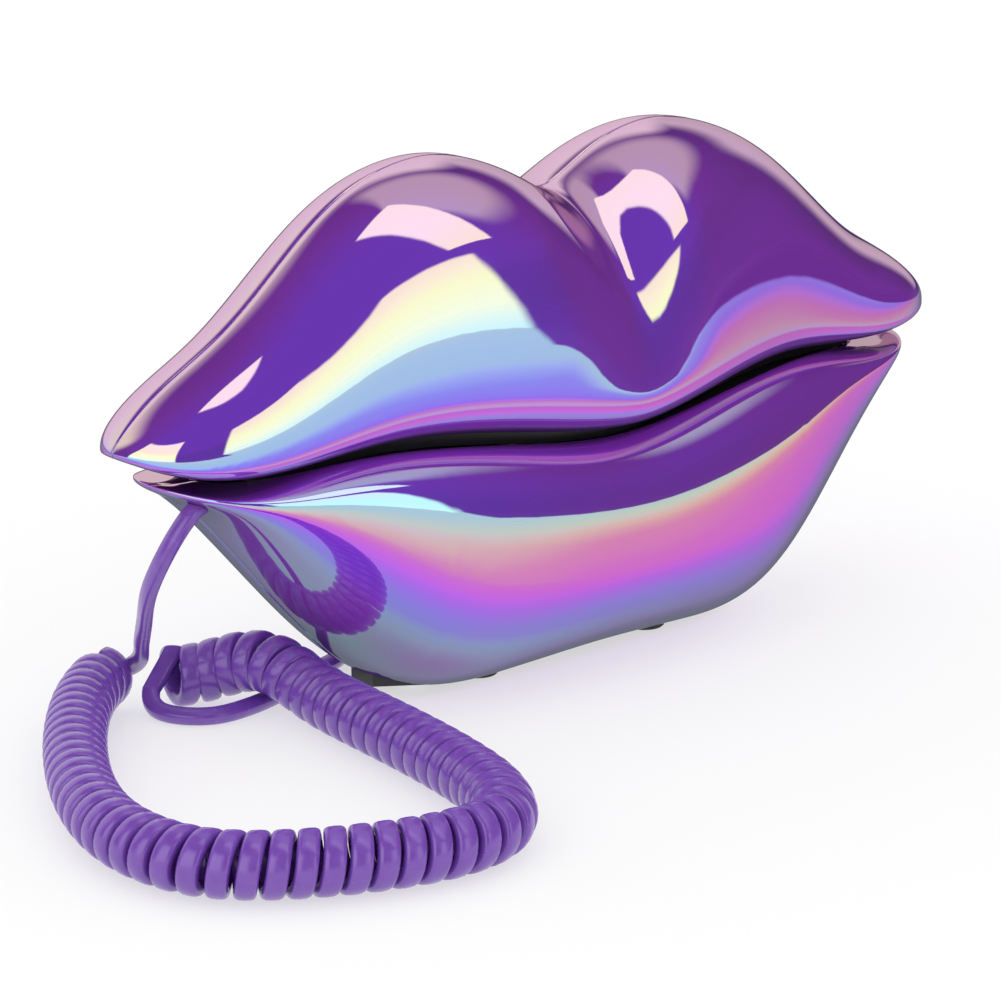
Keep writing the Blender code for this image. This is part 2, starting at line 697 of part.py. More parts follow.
def microphone():
    """Microphone capsule in a rubber boot."""
    low = face_high(MICROPHONE_X) + 2 * FIT_GAP
    high = low + BOOT_HEIGHT
    inner = MICROPHONE_RADIUS + FIT_GAP
    outer = inner + BOOT_WALL
    floor = low + BOOT_WALL
    boot = [(BOOT_OPENING, low), (outer, low), (outer, high), (inner, high), (inner, floor),
            (BOOT_OPENING, floor)]
    low = floor + FIT_GAP
    high = low + MICROPHONE_HEIGHT
    capsule = [(0, low), (MICROPHONE_RADIUS, low), (MICROPHONE_RADIUS, high), (0, high)]
    return [turned("microphone_boot", boot, "rubber", MICROPHONE_X, PAD_Y, ring=True),
            turned("microphone_capsule", capsule, "steel", MICROPHONE_X, PAD_Y)]


def flat_part(name, size, low, slot, bevel=0.0):
    """Box of the given size, centred on the keypad, with its underside at low."""
    half_x, half_y = size[0] / 2, size[1] / 2
    return box(name, (-half_x, PAD_Y - half_y, low), (half_x, PAD_Y + half_y, low + size[2]), slot, bevel)


def handset_electronics():
    """Key membrane, circuit board and the weight that holds the hook down."""
    membrane_z = key_stack_z()
    board_z = membrane_z + MEMBRANE_SIZE[2] + FIT_GAP
    weight_z = board_z + HANDSET_BOARD_SIZE[2] + FIT_GAP
    return [flat_part("keypad_membrane", MEMBRANE_SIZE, membrane_z, "rubber"),
            flat_part("handset_circuit_board", HANDSET_BOARD_SIZE, board_z, "board"),
            flat_part("handset_weight_plate", HANDSET_WEIGHT_SIZE, weight_z, "steel", 0.0005)]


def handset_screw_places():
    return [(x, y) for x in (-HANDSET_BOSS_X, HANDSET_BOSS_X) for y in HANDSET_BOSS_Y]


def handset_screws():
    return [screw("handset_screw_%d" % (i + 1), x, y, face_low(x))
            for i, (x, y) in enumerate(handset_screw_places())]


def socket(name, low, high, opening_low, opening_high, slot="black"):
    """Modular socket: a block with a pocket open on one side for the plug."""
    block = box(name, low, high, slot, 0)
    cut(block, box("tool_pocket_" + name, opening_low, opening_high, slot, 0))
    return block


def handset_cord_socket():
    """Socket at the handset's rear wall, open to the back."""
    y = UPPER.wall_y(CORD_UP_X, CORD_UP_Z, 1)
    half_x, depth, half_z = JACK_HALF_WIDTH, JACK_DEPTH, JACK_HALF_HEIGHT
    rear = y - 2 * WALL - FIT_GAP
    hole_x, hole_z = PLUG_HALF_WIDTH + PLUG_CLEARANCE, PLUG_HALF_HEIGHT + PLUG_CLEARANCE
    return socket("handset_cord_socket", (CORD_UP_X - half_x, rear - depth, CORD_UP_Z - half_z),
                  (CORD_UP_X + half_x, rear, CORD_UP_Z + half_z),
                  (CORD_UP_X - hole_x, rear - depth + JACK_WALL, CORD_UP_Z - hole_z),
                  (CORD_UP_X + hole_x, y, CORD_UP_Z + hole_z))


def handset_cord_hole():
    """Cutter for the plug's way through the handset's rear wall."""
    hole_x, hole_z = PLUG_HALF_WIDTH + PLUG_CLEARANCE, PLUG_HALF_HEIGHT + PLUG_CLEARANCE
    return box("tool_cord_hole", (CORD_UP_X - hole_x, 0.005, CORD_UP_Z - hole_z),
               (CORD_UP_X + hole_x, 0.040, CORD_UP_Z + hole_z), "black", 0)


def handset_cord_plug():
    """Plug that stands in the handset's cord socket, reaching through the rear wall."""
    y = UPPER.wall_y(CORD_UP_X, CORD_UP_Z, 1)
    front = y - 2 * WALL - JACK_DEPTH + JACK_WALL + FIT_GAP
    return box("handset_cord_plug", (CORD_UP_X - PLUG_HALF_WIDTH, front, CORD_UP_Z - PLUG_HALF_HEIGHT),
               (CORD_UP_X + PLUG_HALF_WIDTH, y + 0.0005, CORD_UP_Z + PLUG_HALF_HEIGHT), "clear")


# ---------------------------------------------------------------- base
def tray_high(x):
    return parting(x) - TRAY_DROP


def tray_low(x):
    return tray_high(x) - TRAY_THICKNESS


def cradle_tray():
    """Black tray the handset rests on, with a pocket over the keys and posts for the base screws."""
    tray = curved_slab("cradle_tray", mouth_stations(LOWER, TRAY_END), mouth_edge(LOWER, -1),
                       mouth_edge(LOWER, 1), tray_low, tray_high, "black")
    reach_x = KEY_PITCH_X * len(KEY_GRID) / 2 + POCKET_MARGIN
    reach_y = KEY_PITCH_Y * len(KEY_GRID[0]) / 2 + POCKET_MARGIN
    xs = [reach_x * k / 6 for k in range(-6, 7)]
    pocket = curved_slab("tool_pocket", xs, lambda x: PAD_Y - reach_y, lambda x: PAD_Y + reach_y,
                         lambda x: tray_high(x) - POCKET_DEPTH, lambda x: tray_high(x) + CUT_MARGIN, "black")
    cut(tray, pocket)
    for i, (x, y) in enumerate(tray_post_places()):
        high = tray_low(x) + TRAY_THICKNESS / 4
        low = FLAT_Z + PLATE_THICKNESS + FIT_GAP
        join(tray, cylinder("tool_post_%d" % i, TRAY_POST_DIAMETER / 2, low, high, "black", x, y, 12))
        cut(tray, cylinder("tool_post_bore_%d" % i, SCREW_BORE_DIAMETER / 2, low - 0.001,
                           low + SCREW_LENGTH, "black", x, y, 12))
    cut(tray, cylinder("tool_hook_hole", PLUNGER_RADIUS + 0.0004, tray_low(HOOK_X) - 0.002,
                       tray_high(HOOK_X) + 0.002, "black", HOOK_X, HOOK_Y, 20))
    return tray


def underside_stations():
    """Stations of the base's shells, with the ends of the tray and of the opening in the underside."""
    end = UNDERSIDE_HALF_LENGTH / BASE_HALF_LENGTH
    return stations((UNDERSIDE_END * end, end, TRAY_END))


def tray_post_places():
    return [(x, y) for x in (-TRAY_POST_X, TRAY_POST_X) for y in TRAY_POST_Y]


def base_shells():
    """Front half with the hole for the near lead, rear half with the hole for the line socket."""
    spans = underside_stations()
    front = half_shell("base_front_shell", LOWER, -1, spans)
    path = [p for p in near_lead() if p.z > LEAD_HOLE_LOW]
    cut(front, sweep("tool_lead_hole", path, [LEAD_RADIUS + LEAD_CLEARANCE] * len(path), 12, "black"))
    rear = half_shell("base_rear_shell", LOWER, 1, spans)
    x, z = LINE_SOCKET_X, LINE_SOCKET_Z
    half_x, half_z = [s / 2 + FIT_GAP for s in LINE_SOCKET_SIZE]
    inside = LOWER.wall_y(x, z, 1) - 4 * WALL
    cut(rear, box("tool_line_hole", (x - half_x, inside, z - half_z),
                  (x + half_x, inside + 8 * WALL, z + half_z), "black", 0))
    return [front, rear]


def line_socket():
    """Wall-line socket standing in the rear shell, flush with its outside."""
    x, z = LINE_SOCKET_X, LINE_SOCKET_Z
    half_x, half_z = [s / 2 for s in LINE_SOCKET_SIZE]
    y = LOWER.wall_y(x, z, 1)
    hole_x, hole_z = half_x - LINE_SOCKET_WALL, half_z - LINE_SOCKET_WALL
    front = y - LINE_SOCKET_DEPTH
    return socket("line_socket", (x - half_x, front, z - half_z), (x + half_x, y + 0.0002, z + half_z),
                  (x - hole_x, front + LINE_SOCKET_WALL, z - hole_z),
                  (x + hole_x, y + CUT_MARGIN, z + hole_z))


def base_cord_socket():
    """Socket inside the left tip of the base, open towards the tip."""
    x, y, z = BASE_PLUG
    return socket("base_cord_socket", (x - 0.0015, y - 0.0050, z - 0.0040),
                  (x + 0.0120, y + 0.0050, z + 0.0040), (x - 0.0100, y - 0.0033, z - 0.0028),
                  (x + 0.0095, y + 0.0033, z + 0.0028))


def base_cord_plug():
    x, y, z = BASE_PLUG
    return box("base_cord_plug", (x - 0.0050, y - 0.0030, z - 0.0025),
               (x + 0.0090, y + 0.0030, z + 0.0025), "clear")


def bottom_plate():
    """Flat underside plate with screw holes, knob slots, a rest boss and two posts for the circuit board."""
    reach = UNDERSIDE_END * UNDERSIDE_HALF_LENGTH + 0.0001
    xs = [u * BASE_HALF_LENGTH for u in underside_stations() if abs(u) * BASE_HALF_LENGTH < reach]
    plate = curved_slab("bottom_plate", xs, lambda x: UNDERSIDE_INSET - underside_half_depth(x),
                        lambda x: underside_half_depth(x) - UNDERSIDE_INSET, lambda x: FLAT_Z,
                        lambda x: FLAT_Z + PLATE_THICKNESS, "black")
    for i, x in enumerate((-BOARD_POST_X, BOARD_POST_X)):
        join(plate, cylinder("tool_board_post_%d" % i, 0.0022, FLAT_Z + 0.001, BOARD_Z - FIT_GAP, "black",
                             x, BOARD_POST_Y, 12))
    join(plate, cylinder("tool_rest_boss", REST_BOSS_DIAMETER / 2, 0.0, FLAT_Z + 0.001, "black", sides=16))
    slots = bmesh.new()
    for x in (-KNOB_X, KNOB_X):
        add_box(slots, (x - KNOB_SLOT / 2, -0.0024, -0.001), (x + KNOB_SLOT / 2, 0.0024, 0.008))
    cut(plate, make("tool_plate_slots", slots, "black"))
    cut_screw_seats(plate, tray_post_places(), lambda x: FLAT_Z)
    return plate


def rubber_feet():
    feet = []
    radius = FOOT_DIAMETER / 2
    high = FLAT_Z - FIT_GAP
    names = ("foot_front_left", "foot_front_right", "foot_rear_left", "foot_rear_right")
    places = [(x, y) for y in (-FOOT_Y, FOOT_Y) for x in (-FOOT_X, FOOT_X)]
    for name, (x, y) in zip(names, places):
        profile = [(0, 0), (radius - 0.0004, 0), (radius, 0.0004), (radius, high), (0, high)]
        feet.append(turned(name, profile, "rubber", x, y, 24))
    return feet


def base_screws():
    return [screw("base_screw_%d" % (i + 1), x, y, FLAT_Z) for i, (x, y) in enumerate(tray_post_places())]


def base_inside():
    """Circuit board, and on it the ballast and the ringer."""
    low = BOARD_Z + BASE_BOARD_SIZE[2] + FIT_GAP
    for name, size, x, z, slot, bevel in (("base_circuit_board", BASE_BOARD_SIZE, 0.0, BOARD_Z, "board", 0),
                                          ("ballast_weight", BALLAST_SIZE, BALLAST_X, low, "steel", 0.0005)):
        half_x, half_y = size[0] / 2, size[1] / 2
        box(name, (x - half_x, BOARD_Y - half_y, z), (x + half_x, BOARD_Y + half_y, z + size[2]), slot, bevel)
    high = low + RINGER_HEIGHT
    well = RINGER_RADIUS / 3
    turned("ringer_sounder", [(0, low), (RINGER_RADIUS, low), (RINGER_RADIUS, high), (well, high),
                              (well, high - 0.001), (0, high - 0.001)], "black", RINGER_X, BOARD_Y, 24)


def slide_switch(name, x):
    """Slide-switch housing and its knob, which comes out through the bottom plate."""
    low = FLAT_Z + PLATE_THICKNESS + FIT_GAP
    housing = box(name + "_housing", (x - 0.0070, -0.0045, low), (x + 0.0070, 0.0045, low + 0.0045),
                  "steel", 0)
    cut(housing, box("tool_" + name, (x - 0.0055, -0.0030, low - 0.001), (x + 0.0055, 0.0030, low + 0.0030),
                     "steel", 0))
    return housing


def knob(name, x):
    """Knob at the left end of its slot: a finger tab below a slider inside the housing."""
    start = x - KNOB_TRAVEL / 2
    low = FLAT_Z - 0.0007
    middle = FLAT_Z + PLATE_THICKNESS + 2 * FIT_GAP
    high = middle + 0.0018
    levels = [(0.0016, 0.0018, 0.0004, 0.0), (0.0016, 0.0018, 0.0004, middle - low),
              (0.0030, 0.0024, 0.0004, middle - low), (0.0030, 0.0024, 0.0004, high - low)]
    return stacked(name, levels, "key", (start, 0.0, low))


def hook_parts():
    """Hook plunger, its spring and the switch housing under the tray."""
    roof = tray_low(HOOK_X) - FIT_GAP
    housing = box("hook_switch", (HOOK_X - 0.0065, HOOK_Y - 0.0065, HOOK_FLOOR_Z),
                  (HOOK_X + 0.0065, HOOK_Y + 0.0065, roof - 0.0006), "black", 0)
    cut(housing, cylinder("tool_hook_bore", 0.0050, HOOK_FLOOR_Z + 0.0020, roof + 0.002, "black",
                          HOOK_X, HOOK_Y, 20))
    top = face_low(HOOK_X) - FIT_GAP
    flange = tray_low(HOOK_X) - HOOK_TRAVEL - 0.0006
    r = PLUNGER_RADIUS
    profile = [(0, HOOK_FLOOR_Z + 0.0040), (0.0014, HOOK_FLOOR_Z + 0.0040), (0.0014, flange - 0.0012),
               (0.0042, flange - 0.0012), (0.0042, flange), (r, flange), (r, top - 0.0006),
               (r - 0.0006, top), (0, top)]
    plunger = turned("hook_plunger", profile, "key", HOOK_X, HOOK_Y, 20)
    spring = hook_spring(HOOK_FLOOR_Z + 0.0020 + FIT_GAP, flange - 0.0012 - FIT_GAP)
    return housing, plunger, spring


def hook_spring(low, high):
    wire, coil, turns, steps = 0.0003, 0.0026, 5, 10
    count = turns * steps + 1
    path = []
    for i in range(count):
        a = 2 * math.pi * i / steps
        rise = low + wire * 1.4 + (high - low - 2.8 * wire) * i / (count - 1)
        path.append(Vector((HOOK_X + coil * math.cos(a), HOOK_Y + coil * math.sin(a), rise)))
    return sweep("hook_spring", path, [wire] * count, 5, "steel")


# ---------------------------------------------------------------- cord
def coil_height(x, y):
    """Height of the coil's axis: it lies on the table and climbs over its own lead."""
    reach = math.dist((x, y), CROSSING) / CROSSING_REACH
    return COIL_Z + CROSSING_RISE * math.exp(-reach ** 2)


def near_lead():
    """Centre line of the near lead, from inside the base's left tip down to the table."""
    return smooth_path([*INNER_LEAD, LEAD_ENTRY, *NEAR_LEAD], 22)


def handset_cord():
    """One cord: near lead from the base's left tip, coil in a loop on the table, far lead up the back."""
    back_y = UPPER.wall_y(CORD_UP_X, CORD_UP_Z, 1)
    far = [*FAR_LEAD, (CORD_UP_X, back_y + 0.0065, CORD_UP_Z - 0.0012),
           (CORD_UP_X, back_y + 0.0014, CORD_UP_Z)]
    near_path = near_lead()
    coil_path = smooth_path([(x, y, coil_height(x, y)) for x, y in LOOP], 2 * COIL_TURNS + 1)
    far_path = smooth_path(far, 26)
    radii = [LEAD_RADIUS] * len(near_path)
    radii += [COIL_RADIUS if i % 2 else COIL_GROOVE_RADIUS for i in range(len(coil_path))]
    radii += [LEAD_RADIUS] * len(far_path)
    return sweep("handset_cord", near_path + coil_path + far_path, radii, 8, "cord")


# ---------------------------------------------------------------- build
def main():
    for obj in list(bpy.data.objects):
        bpy.data.objects.remove(obj)
    handset = joint_empty("handset_axis", (0.0, 0.0, parting(0.0)))
    front, rear = handset_shells()
    cut(rear, handset_cord_hole())
    fixed_to_handset = [front, rear, handset_face_plate(), handset_cord_socket(), handset_cord_plug()]
    for obj in fixed_to_handset + receiver() + microphone() + handset_electronics() + handset_screws():
        put_on(obj, handset)
    for name, x, y in all_keys():
        axis = joint_empty(name + "_axis", (x, y, face_low(x)), handset)
        put_on(key_cap(name, x, y), axis)
    base_shells()
    cradle_tray()
    bottom_plate()
    rubber_feet()
    base_screws()
    base_inside()
    line_socket()
    base_cord_socket()
    base_cord_plug()
    for name, x in (("ringer_volume", -KNOB_X), ("dial_mode", KNOB_X)):
        slide_switch(name, x)
        axis = joint_empty(name + "_axis", (x - KNOB_TRAVEL / 2, 0.0, FLAT_Z))
        put_on(knob(name + "_knob", x), axis)
    _, plunger, _ = hook_parts()
    hook_axis = joint_empty("hook_axis", (HOOK_X, HOOK_Y, HOOK_FLOOR_Z))
    put_on(plunger, hook_axis)
    handset_cord()


main()
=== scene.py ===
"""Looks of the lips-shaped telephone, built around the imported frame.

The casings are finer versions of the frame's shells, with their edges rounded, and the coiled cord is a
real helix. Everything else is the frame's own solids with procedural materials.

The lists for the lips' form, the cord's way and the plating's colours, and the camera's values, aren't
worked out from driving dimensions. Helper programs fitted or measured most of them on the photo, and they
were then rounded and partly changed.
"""
import json
import math

import bmesh
import bpy
import numpy as np
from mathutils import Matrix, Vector


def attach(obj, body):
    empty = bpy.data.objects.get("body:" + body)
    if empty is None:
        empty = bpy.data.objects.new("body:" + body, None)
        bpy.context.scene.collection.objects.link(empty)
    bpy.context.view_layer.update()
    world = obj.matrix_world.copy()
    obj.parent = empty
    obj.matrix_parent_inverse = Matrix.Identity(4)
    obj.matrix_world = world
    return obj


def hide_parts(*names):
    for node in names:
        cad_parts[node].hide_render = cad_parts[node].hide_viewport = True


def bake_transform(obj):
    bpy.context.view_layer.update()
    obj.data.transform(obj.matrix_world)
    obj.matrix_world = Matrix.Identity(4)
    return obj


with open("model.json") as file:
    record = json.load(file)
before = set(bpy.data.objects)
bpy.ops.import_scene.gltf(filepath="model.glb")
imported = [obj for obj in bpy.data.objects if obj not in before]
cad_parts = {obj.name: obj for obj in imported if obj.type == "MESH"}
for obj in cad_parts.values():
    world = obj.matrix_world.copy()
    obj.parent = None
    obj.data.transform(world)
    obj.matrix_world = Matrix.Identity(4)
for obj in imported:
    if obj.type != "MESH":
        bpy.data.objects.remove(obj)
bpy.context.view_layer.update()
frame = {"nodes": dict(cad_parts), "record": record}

# ---------------------------------------------------------------- form
# As in the frame, but for the groove and a narrower seam. A search program fitted the parting line, heights,
# depths, rolls and the powers of the outlines to the lips' outlines in the photo.
PARTING_AT = (0.0, 0.25, 0.5, 0.75, 1.0)
PARTING_Z = (0.0512, 0.0541, 0.0565, 0.0551, 0.0597)
TIP_POWER = 16.0            # how blunt a lip's tip is
REAR_SHARE = 0.79           # depth behind the seam over depth in front of it
HANDSET_HALF_LENGTH = 0.110
HANDSET_HEIGHT_AT = (0.0, 0.07, 0.15, 0.35, 0.55, 0.75, 0.9, 1.0)
HANDSET_HEIGHT = (0.0481, 0.0507, 0.0542, 0.0538, 0.0434, 0.0268, 0.0171, 0.0075)
HANDSET_DEPTH_AT = (0.0, 0.5, 0.85, 1.0)
HANDSET_DEPTH = (0.0340, 0.0248, 0.0191, 0.0169)
BASE_HALF_LENGTH = 0.1016
BASE_HEIGHT_AT = (0.0, 0.25, 0.45, 0.65, 0.8, 0.9, 1.0)
BASE_HEIGHT = (0.0511, 0.0547, 0.0550, 0.0382, 0.0189, 0.0077, 0.0040)
BASE_DEPTH_AT = (0.0, 0.25, 0.5, 0.85, 1.0)
BASE_DEPTH = (0.0355, 0.0347, 0.0307, 0.0213, 0.0189)
ROLL_AT = (0.0, 0.5, 0.8, 1.0)
HANDSET_ROLL = (0.222, 0.222, 0.222, 0.222)     # share of the height between the widest line and the mouth
BASE_ROLL = (0.506, 0.432, 0.273, 0.273)
LIP_GAP_AT = (0.0, 0.5, 0.7, 0.85, 1.0)
LIP_GAP = (-0.0011, -0.0009, -0.0002, 0.0014, 0.0020)   # crest of the lower lip below the parting line
VALLEY_DEPTH = 0.24         # groove down the front of the upper lip, as a share of its depth there
VALLEY_REACH = 0.19         # station at which the groove has faded
VALLEY_SOFTNESS = 0.012     # rounds the bottom of the groove, as a station
VALLEY_FADE = 1.3           # powers of its fading along the lip and from the ridge to the widest line
VALLEY_RISE = 0.7
UPPER_POWERS = (2.36, 3.2)  # powers of a section's outline beyond the widest line and towards the mouth
LOWER_POWERS = (2.14, 3.84)
WALL = 0.0020
SEAM_GAP = 0.00012          # between the front and the rear half
UPPER_MOUTH_SHARE = 0.70    # depth of the opening between the lips over the lip's depth
LOWER_MOUTH_SHARE = 0.68
MOUTH_END = 0.90            # station where that opening closes
FLAT_Z = 0.0015             # underside of the base above the table
UNDERSIDE_HALF_LENGTH = 0.050
UNDERSIDE_HALF_DEPTH = 0.013

# ---------------------------------------------------------------- fineness of the casings
STATIONS = 176              # spans along a lip
RINGS = 52                  # spans from the mouth's rim to the ridge
RIM_ROUND = 0.0003          # radius that every rim is rounded with
OPENING_SLACK = 0.0002      # round the line socket
OPENING_REACH = 0.010       # how far behind the socket's face the cut goes on

# ---------------------------------------------------------------- cord
# LOOP, NEAR_LEAD and the first half of FAR_LEAD were picked on the photo, placed in space by a helper program
# and then adjusted.
LEAD_WIDTH = 0.0037         # the cable is flat: width and thickness of its section
LEAD_THICKNESS = 0.0028
TURN_WIDTH = 0.0042
TURN_THICKNESS = 0.0029
COIL_RADIUS = 0.0063        # to the outside of the turns
COIL_TURNS = 62
COIL_Z = 0.0065
CROSSING_RISE = 0.0036      # the coil climbs this much over its own lead
CROSSING_REACH = 0.010
LEAD_ENTRY = (-0.0965, -0.0082, 0.0500)
INNER_LEAD = ((-0.0775, -0.0032, 0.0442), (-0.0812, -0.0040, 0.0460), (-0.0850, -0.0050, 0.0480),
              (-0.0905, -0.0066, 0.0497))
NEAR_LEAD = ((-0.1000, -0.0078, 0.0467), (-0.1025, -0.0050, 0.0401), (-0.1022, 0.0000, 0.0327),
             (-0.0978, 0.0080, 0.0237), (-0.0930, 0.0160, 0.0154), (-0.0893, 0.0222, 0.0100),
             (-0.0888, 0.0262, 0.0074))
LOOP = ((-0.0950, 0.0265), (-0.1008, 0.0223), (-0.1142, 0.0085), (-0.1282, -0.0109), (-0.1389, -0.0306),
        (-0.1442, -0.0509), (-0.1408, -0.0682), (-0.1279, -0.0804), (-0.1114, -0.0883), (-0.0985, -0.0908),
        (-0.0890, -0.0885), (-0.0815, -0.0795), (-0.0765, -0.0640), (-0.0730, -0.0425), (-0.0710, -0.0240),
        (-0.0693, -0.0069), (-0.0712, 0.0040), (-0.0765, 0.0128), (-0.0845, 0.0178))
CROSSING = (-0.0712, 0.0040)
FAR_LEAD = ((-0.0890, 0.0185, 0.0045), (-0.0910, 0.0145, 0.0022), (-0.0895, 0.0080, 0.0018),
            (-0.0845, 0.0036, 0.0018), (-0.0779, 0.0030, 0.0018), (-0.0639, 0.0066, 0.0018),
            (-0.0522, 0.0120, 0.0018), (-0.0435, 0.0150, 0.0018), (-0.0370, 0.0220, 0.0026),
            (-0.0330, 0.0310, 0.0070), (-0.0320, 0.0370, 0.0200), (-0.0350, 0.0385, 0.0400),
            (-0.0400, 0.0375, 0.0560))
CORD_UP_X = -0.0440         # where the far lead goes into the back of the handset
CORD_UP_Z = 0.0720
CORD_UP_APPROACH = (0.0065, -0.0012)    # last bend before it, behind and above the hole
CORD_UP_END = 0.0014
NEAR_STEPS = 110            # sections along the leads
FAR_STEPS = 190


# ---------------------------------------------------------------- curves
def smooth_curve(knots, values, level_start=False):
    """Cubic curve through the values; it starts level if asked, and its free ends run on smoothly."""
    x = np.array(knots)
    y = np.array(values)
    h = np.diff(x)
    n = len(x) - 1
    rows = np.zeros((n + 1, n + 1))
    rhs = np.zeros(n + 1)
    if level_start:
        rows[0, 0:2] = 2 * h[0], h[0]
        rhs[0] = 6 * (y[1] - y[0]) / h[0]
    else:
        rows[0, 0:3] = -h[1], h[0] + h[1], -h[0]
    for i in range(1, n):
        rows[i, i - 1:i + 2] = h[i - 1], 2 * (h[i - 1] + h[i]), h[i]
        rhs[i] = 6 * ((y[i + 1] - y[i]) / h[i] - (y[i] - y[i - 1]) / h[i - 1])
    rows[n, n - 2:n + 1] = -h[n - 1], h[n - 2] + h[n - 1], -h[n - 2]
    bend = np.linalg.solve(rows, rhs)

    def curve(t):
        i = min(max(int(np.searchsorted(x, t)) - 1, 0), n - 1)
        a = (x[i + 1] - t) / h[i]
        b = 1.0 - a
        cubic = ((a ** 3 - a) * bend[i] + (b ** 3 - b) * bend[i + 1]) * h[i] ** 2 / 6
        return float(a * y[i] + b * y[i + 1] + cubic)

    return curve


def smooth_path(points, count):
    """Points at equal steps along a smooth curve through the given points."""
    corners = [Vector(p) for p in points]
    knots = [0.0]
    for a, b in zip(corners, corners[1:]):
        knots.append(knots[-1] + (b - a).length)
    axes = [smooth_curve(knots, [p[k] for p in corners]) for k in range(3)]
    fine = [Vector([axis(t) for axis in axes]) for t in np.linspace(0.0, knots[-1], 40 * len(points))]
    run = [0.0]
    for a, b in zip(fine, fine[1:]):
        run.append(run[-1] + (b - a).length)
    steps = np.linspace(0.0, run[-1], count)
    columns = [np.interp(steps, run, [p[k] for p in fine]) for k in range(3)]
    return [Vector(p) for p in zip(*columns)]


parting_curve = smooth_curve(PARTING_AT, PARTING_Z, level_start=True)


def parting(x):
    """Height of the parting line between the lips at x."""
    return parting_curve(min(abs(x) / HANDSET_HALF_LENGTH, 1.0))


def positive_power(value, power):
    """Power of a value that rounding may have left just below zero."""
    return max(value, 0.0) ** power


class Lip:
    """One lip: closed cross-sections whose outline side bulges and whose mouth side rolls in."""

    def __init__(self, side, half_length, height, depth, gap, roll, powers, mouth, valley):
        self.side = side
        self.half_length = half_length
        self.height = height
        self.depth = depth
        self.roll = roll
        self.outer_power, self.roll_power = powers
        self.gap = gap
        self.mouth = mouth
        self.valley = valley

    def end_factor(self, u):
        return math.sqrt(max(0.0, 1.0 - abs(u) ** TIP_POWER))

    def half_depth(self, u, facing):
        share = REAR_SHARE if facing > 0 else 1.0
        return self.depth(abs(u)) * share

    def mouth_z(self, u):
        return parting(u * self.half_length) - self.gap(abs(u))

    def point(self, u, angle, facing, wall=0.0):
        """Surface point; angle runs from -90 degrees at the parting line to +90 at the ridge."""
        end = self.end_factor(u)
        height = self.height(abs(u))
        rolled = self.roll(abs(u)) * height
        power = self.outer_power if angle >= 0 else self.roll_power
        across = positive_power(math.cos(angle), 2.0 / power)
        along = positive_power(abs(math.sin(angle)), 2.0 / power)
        if angle >= 0:
            lift = (height - rolled - wall) * along * end
        else:
            lift = -(rolled - min(wall, 0.6 * rolled)) * along * end
        across *= 1.0 - self.groove(u, angle, facing)
        y = facing * ((self.half_depth(u, facing) - wall) * across * end + SEAM_GAP / 2)
        z = self.mouth_z(u) + self.side * (rolled + lift)
        if self.side < 0:
            z = max(z, FLAT_Z + wall)
        return Vector(((self.half_length - wall) * u, y, z))

    def groove(self, u, angle, facing):
        """Share of the depth lost to the groove in the middle of the front, deepest at the ridge."""
        if facing > 0 or angle < 0:
            return 0.0
        fade = positive_power(1.0 - math.hypot(u, VALLEY_SOFTNESS) / VALLEY_REACH, VALLEY_FADE)
        return self.valley * fade * positive_power(math.sin(angle), VALLEY_RISE)

    def mouth_angle(self, u):
        """Angle of the rim of the opening that faces the other lip."""
        return -math.acos(positive_power(self.mouth_share(u), self.roll_power / 2.0))

    def mouth_share(self, u):
        return self.mouth * math.sqrt(max(0.0, 1.0 - (abs(u) / MOUTH_END) ** 8))

    def underside_angle(self, u, facing):
        """Angle of the rim of the opening in the underside; 90 degrees where there is none."""
        open_y = underside_half_depth(u * self.half_length)
        if open_y <= 0:
            return math.pi / 2
        share = open_y / (self.half_depth(u, facing) * self.end_factor(u))
        return math.acos(positive_power(share, self.outer_power / 2.0))

    def surface_point(self, x, facing, is_short):
        """Outer surface point at x, the first past the widest line for which is_short(point) is false."""
        low, high = 0.0, math.pi / 2
        u = x / self.half_length
        for _ in range(40):
            middle = (low + high) / 2
            if is_short(self.point(u, middle, facing)):
                low = middle
            else:
                high = middle
        return self.point(u, low, facing)

    def wall_y(self, x, z, facing):
        """Y of the outer surface at x and z, between the widest line and the ridge."""
        return self.surface_point(x, facing, lambda p: self.side * (p.z - z) < 0).y


def underside_half_depth(x):
    return UNDERSIDE_HALF_DEPTH * math.sqrt(max(0.0, 1.0 - (abs(x) / UNDERSIDE_HALF_LENGTH) ** 8))


UPPER = Lip(1, HANDSET_HALF_LENGTH, smooth_curve(HANDSET_HEIGHT_AT, HANDSET_HEIGHT, True),
            smooth_curve(HANDSET_DEPTH_AT, HANDSET_DEPTH, True), lambda u: 0.0,
            smooth_curve(ROLL_AT, HANDSET_ROLL, True), UPPER_POWERS, UPPER_MOUTH_SHARE, VALLEY_DEPTH)
LOWER = Lip(-1, BASE_HALF_LENGTH, smooth_curve(BASE_HEIGHT_AT, BASE_HEIGHT, True),
            smooth_curve(BASE_DEPTH_AT, BASE_DEPTH, True), smooth_curve(LIP_GAP_AT, LIP_GAP, True),
            smooth_curve(ROLL_AT, BASE_ROLL, True), LOWER_POWERS, LOWER_MOUTH_SHARE, 0.0)


# ---------------------------------------------------------------- materials
def new_material(name):
    mat = bpy.data.materials.new(name)
    mat.use_nodes = True
    return mat, mat.node_tree, mat.node_tree.nodes["Principled BSDF"]


def link(tree, source, target):
    tree.links.new(source, target)


def value_of(tree, socket, item):
    """Feed a socket from another socket or set it to a plain value."""
    if isinstance(item, bpy.types.NodeSocket):
        link(tree, item, socket)
    else:
        socket.default_value = item


def math_node(tree, operation, *items):
    node = tree.nodes.new("ShaderNodeMath")
    node.operation = operation
    for socket, item in zip(node.inputs, items):
        value_of(tree, socket, item)
    return node.outputs[0]


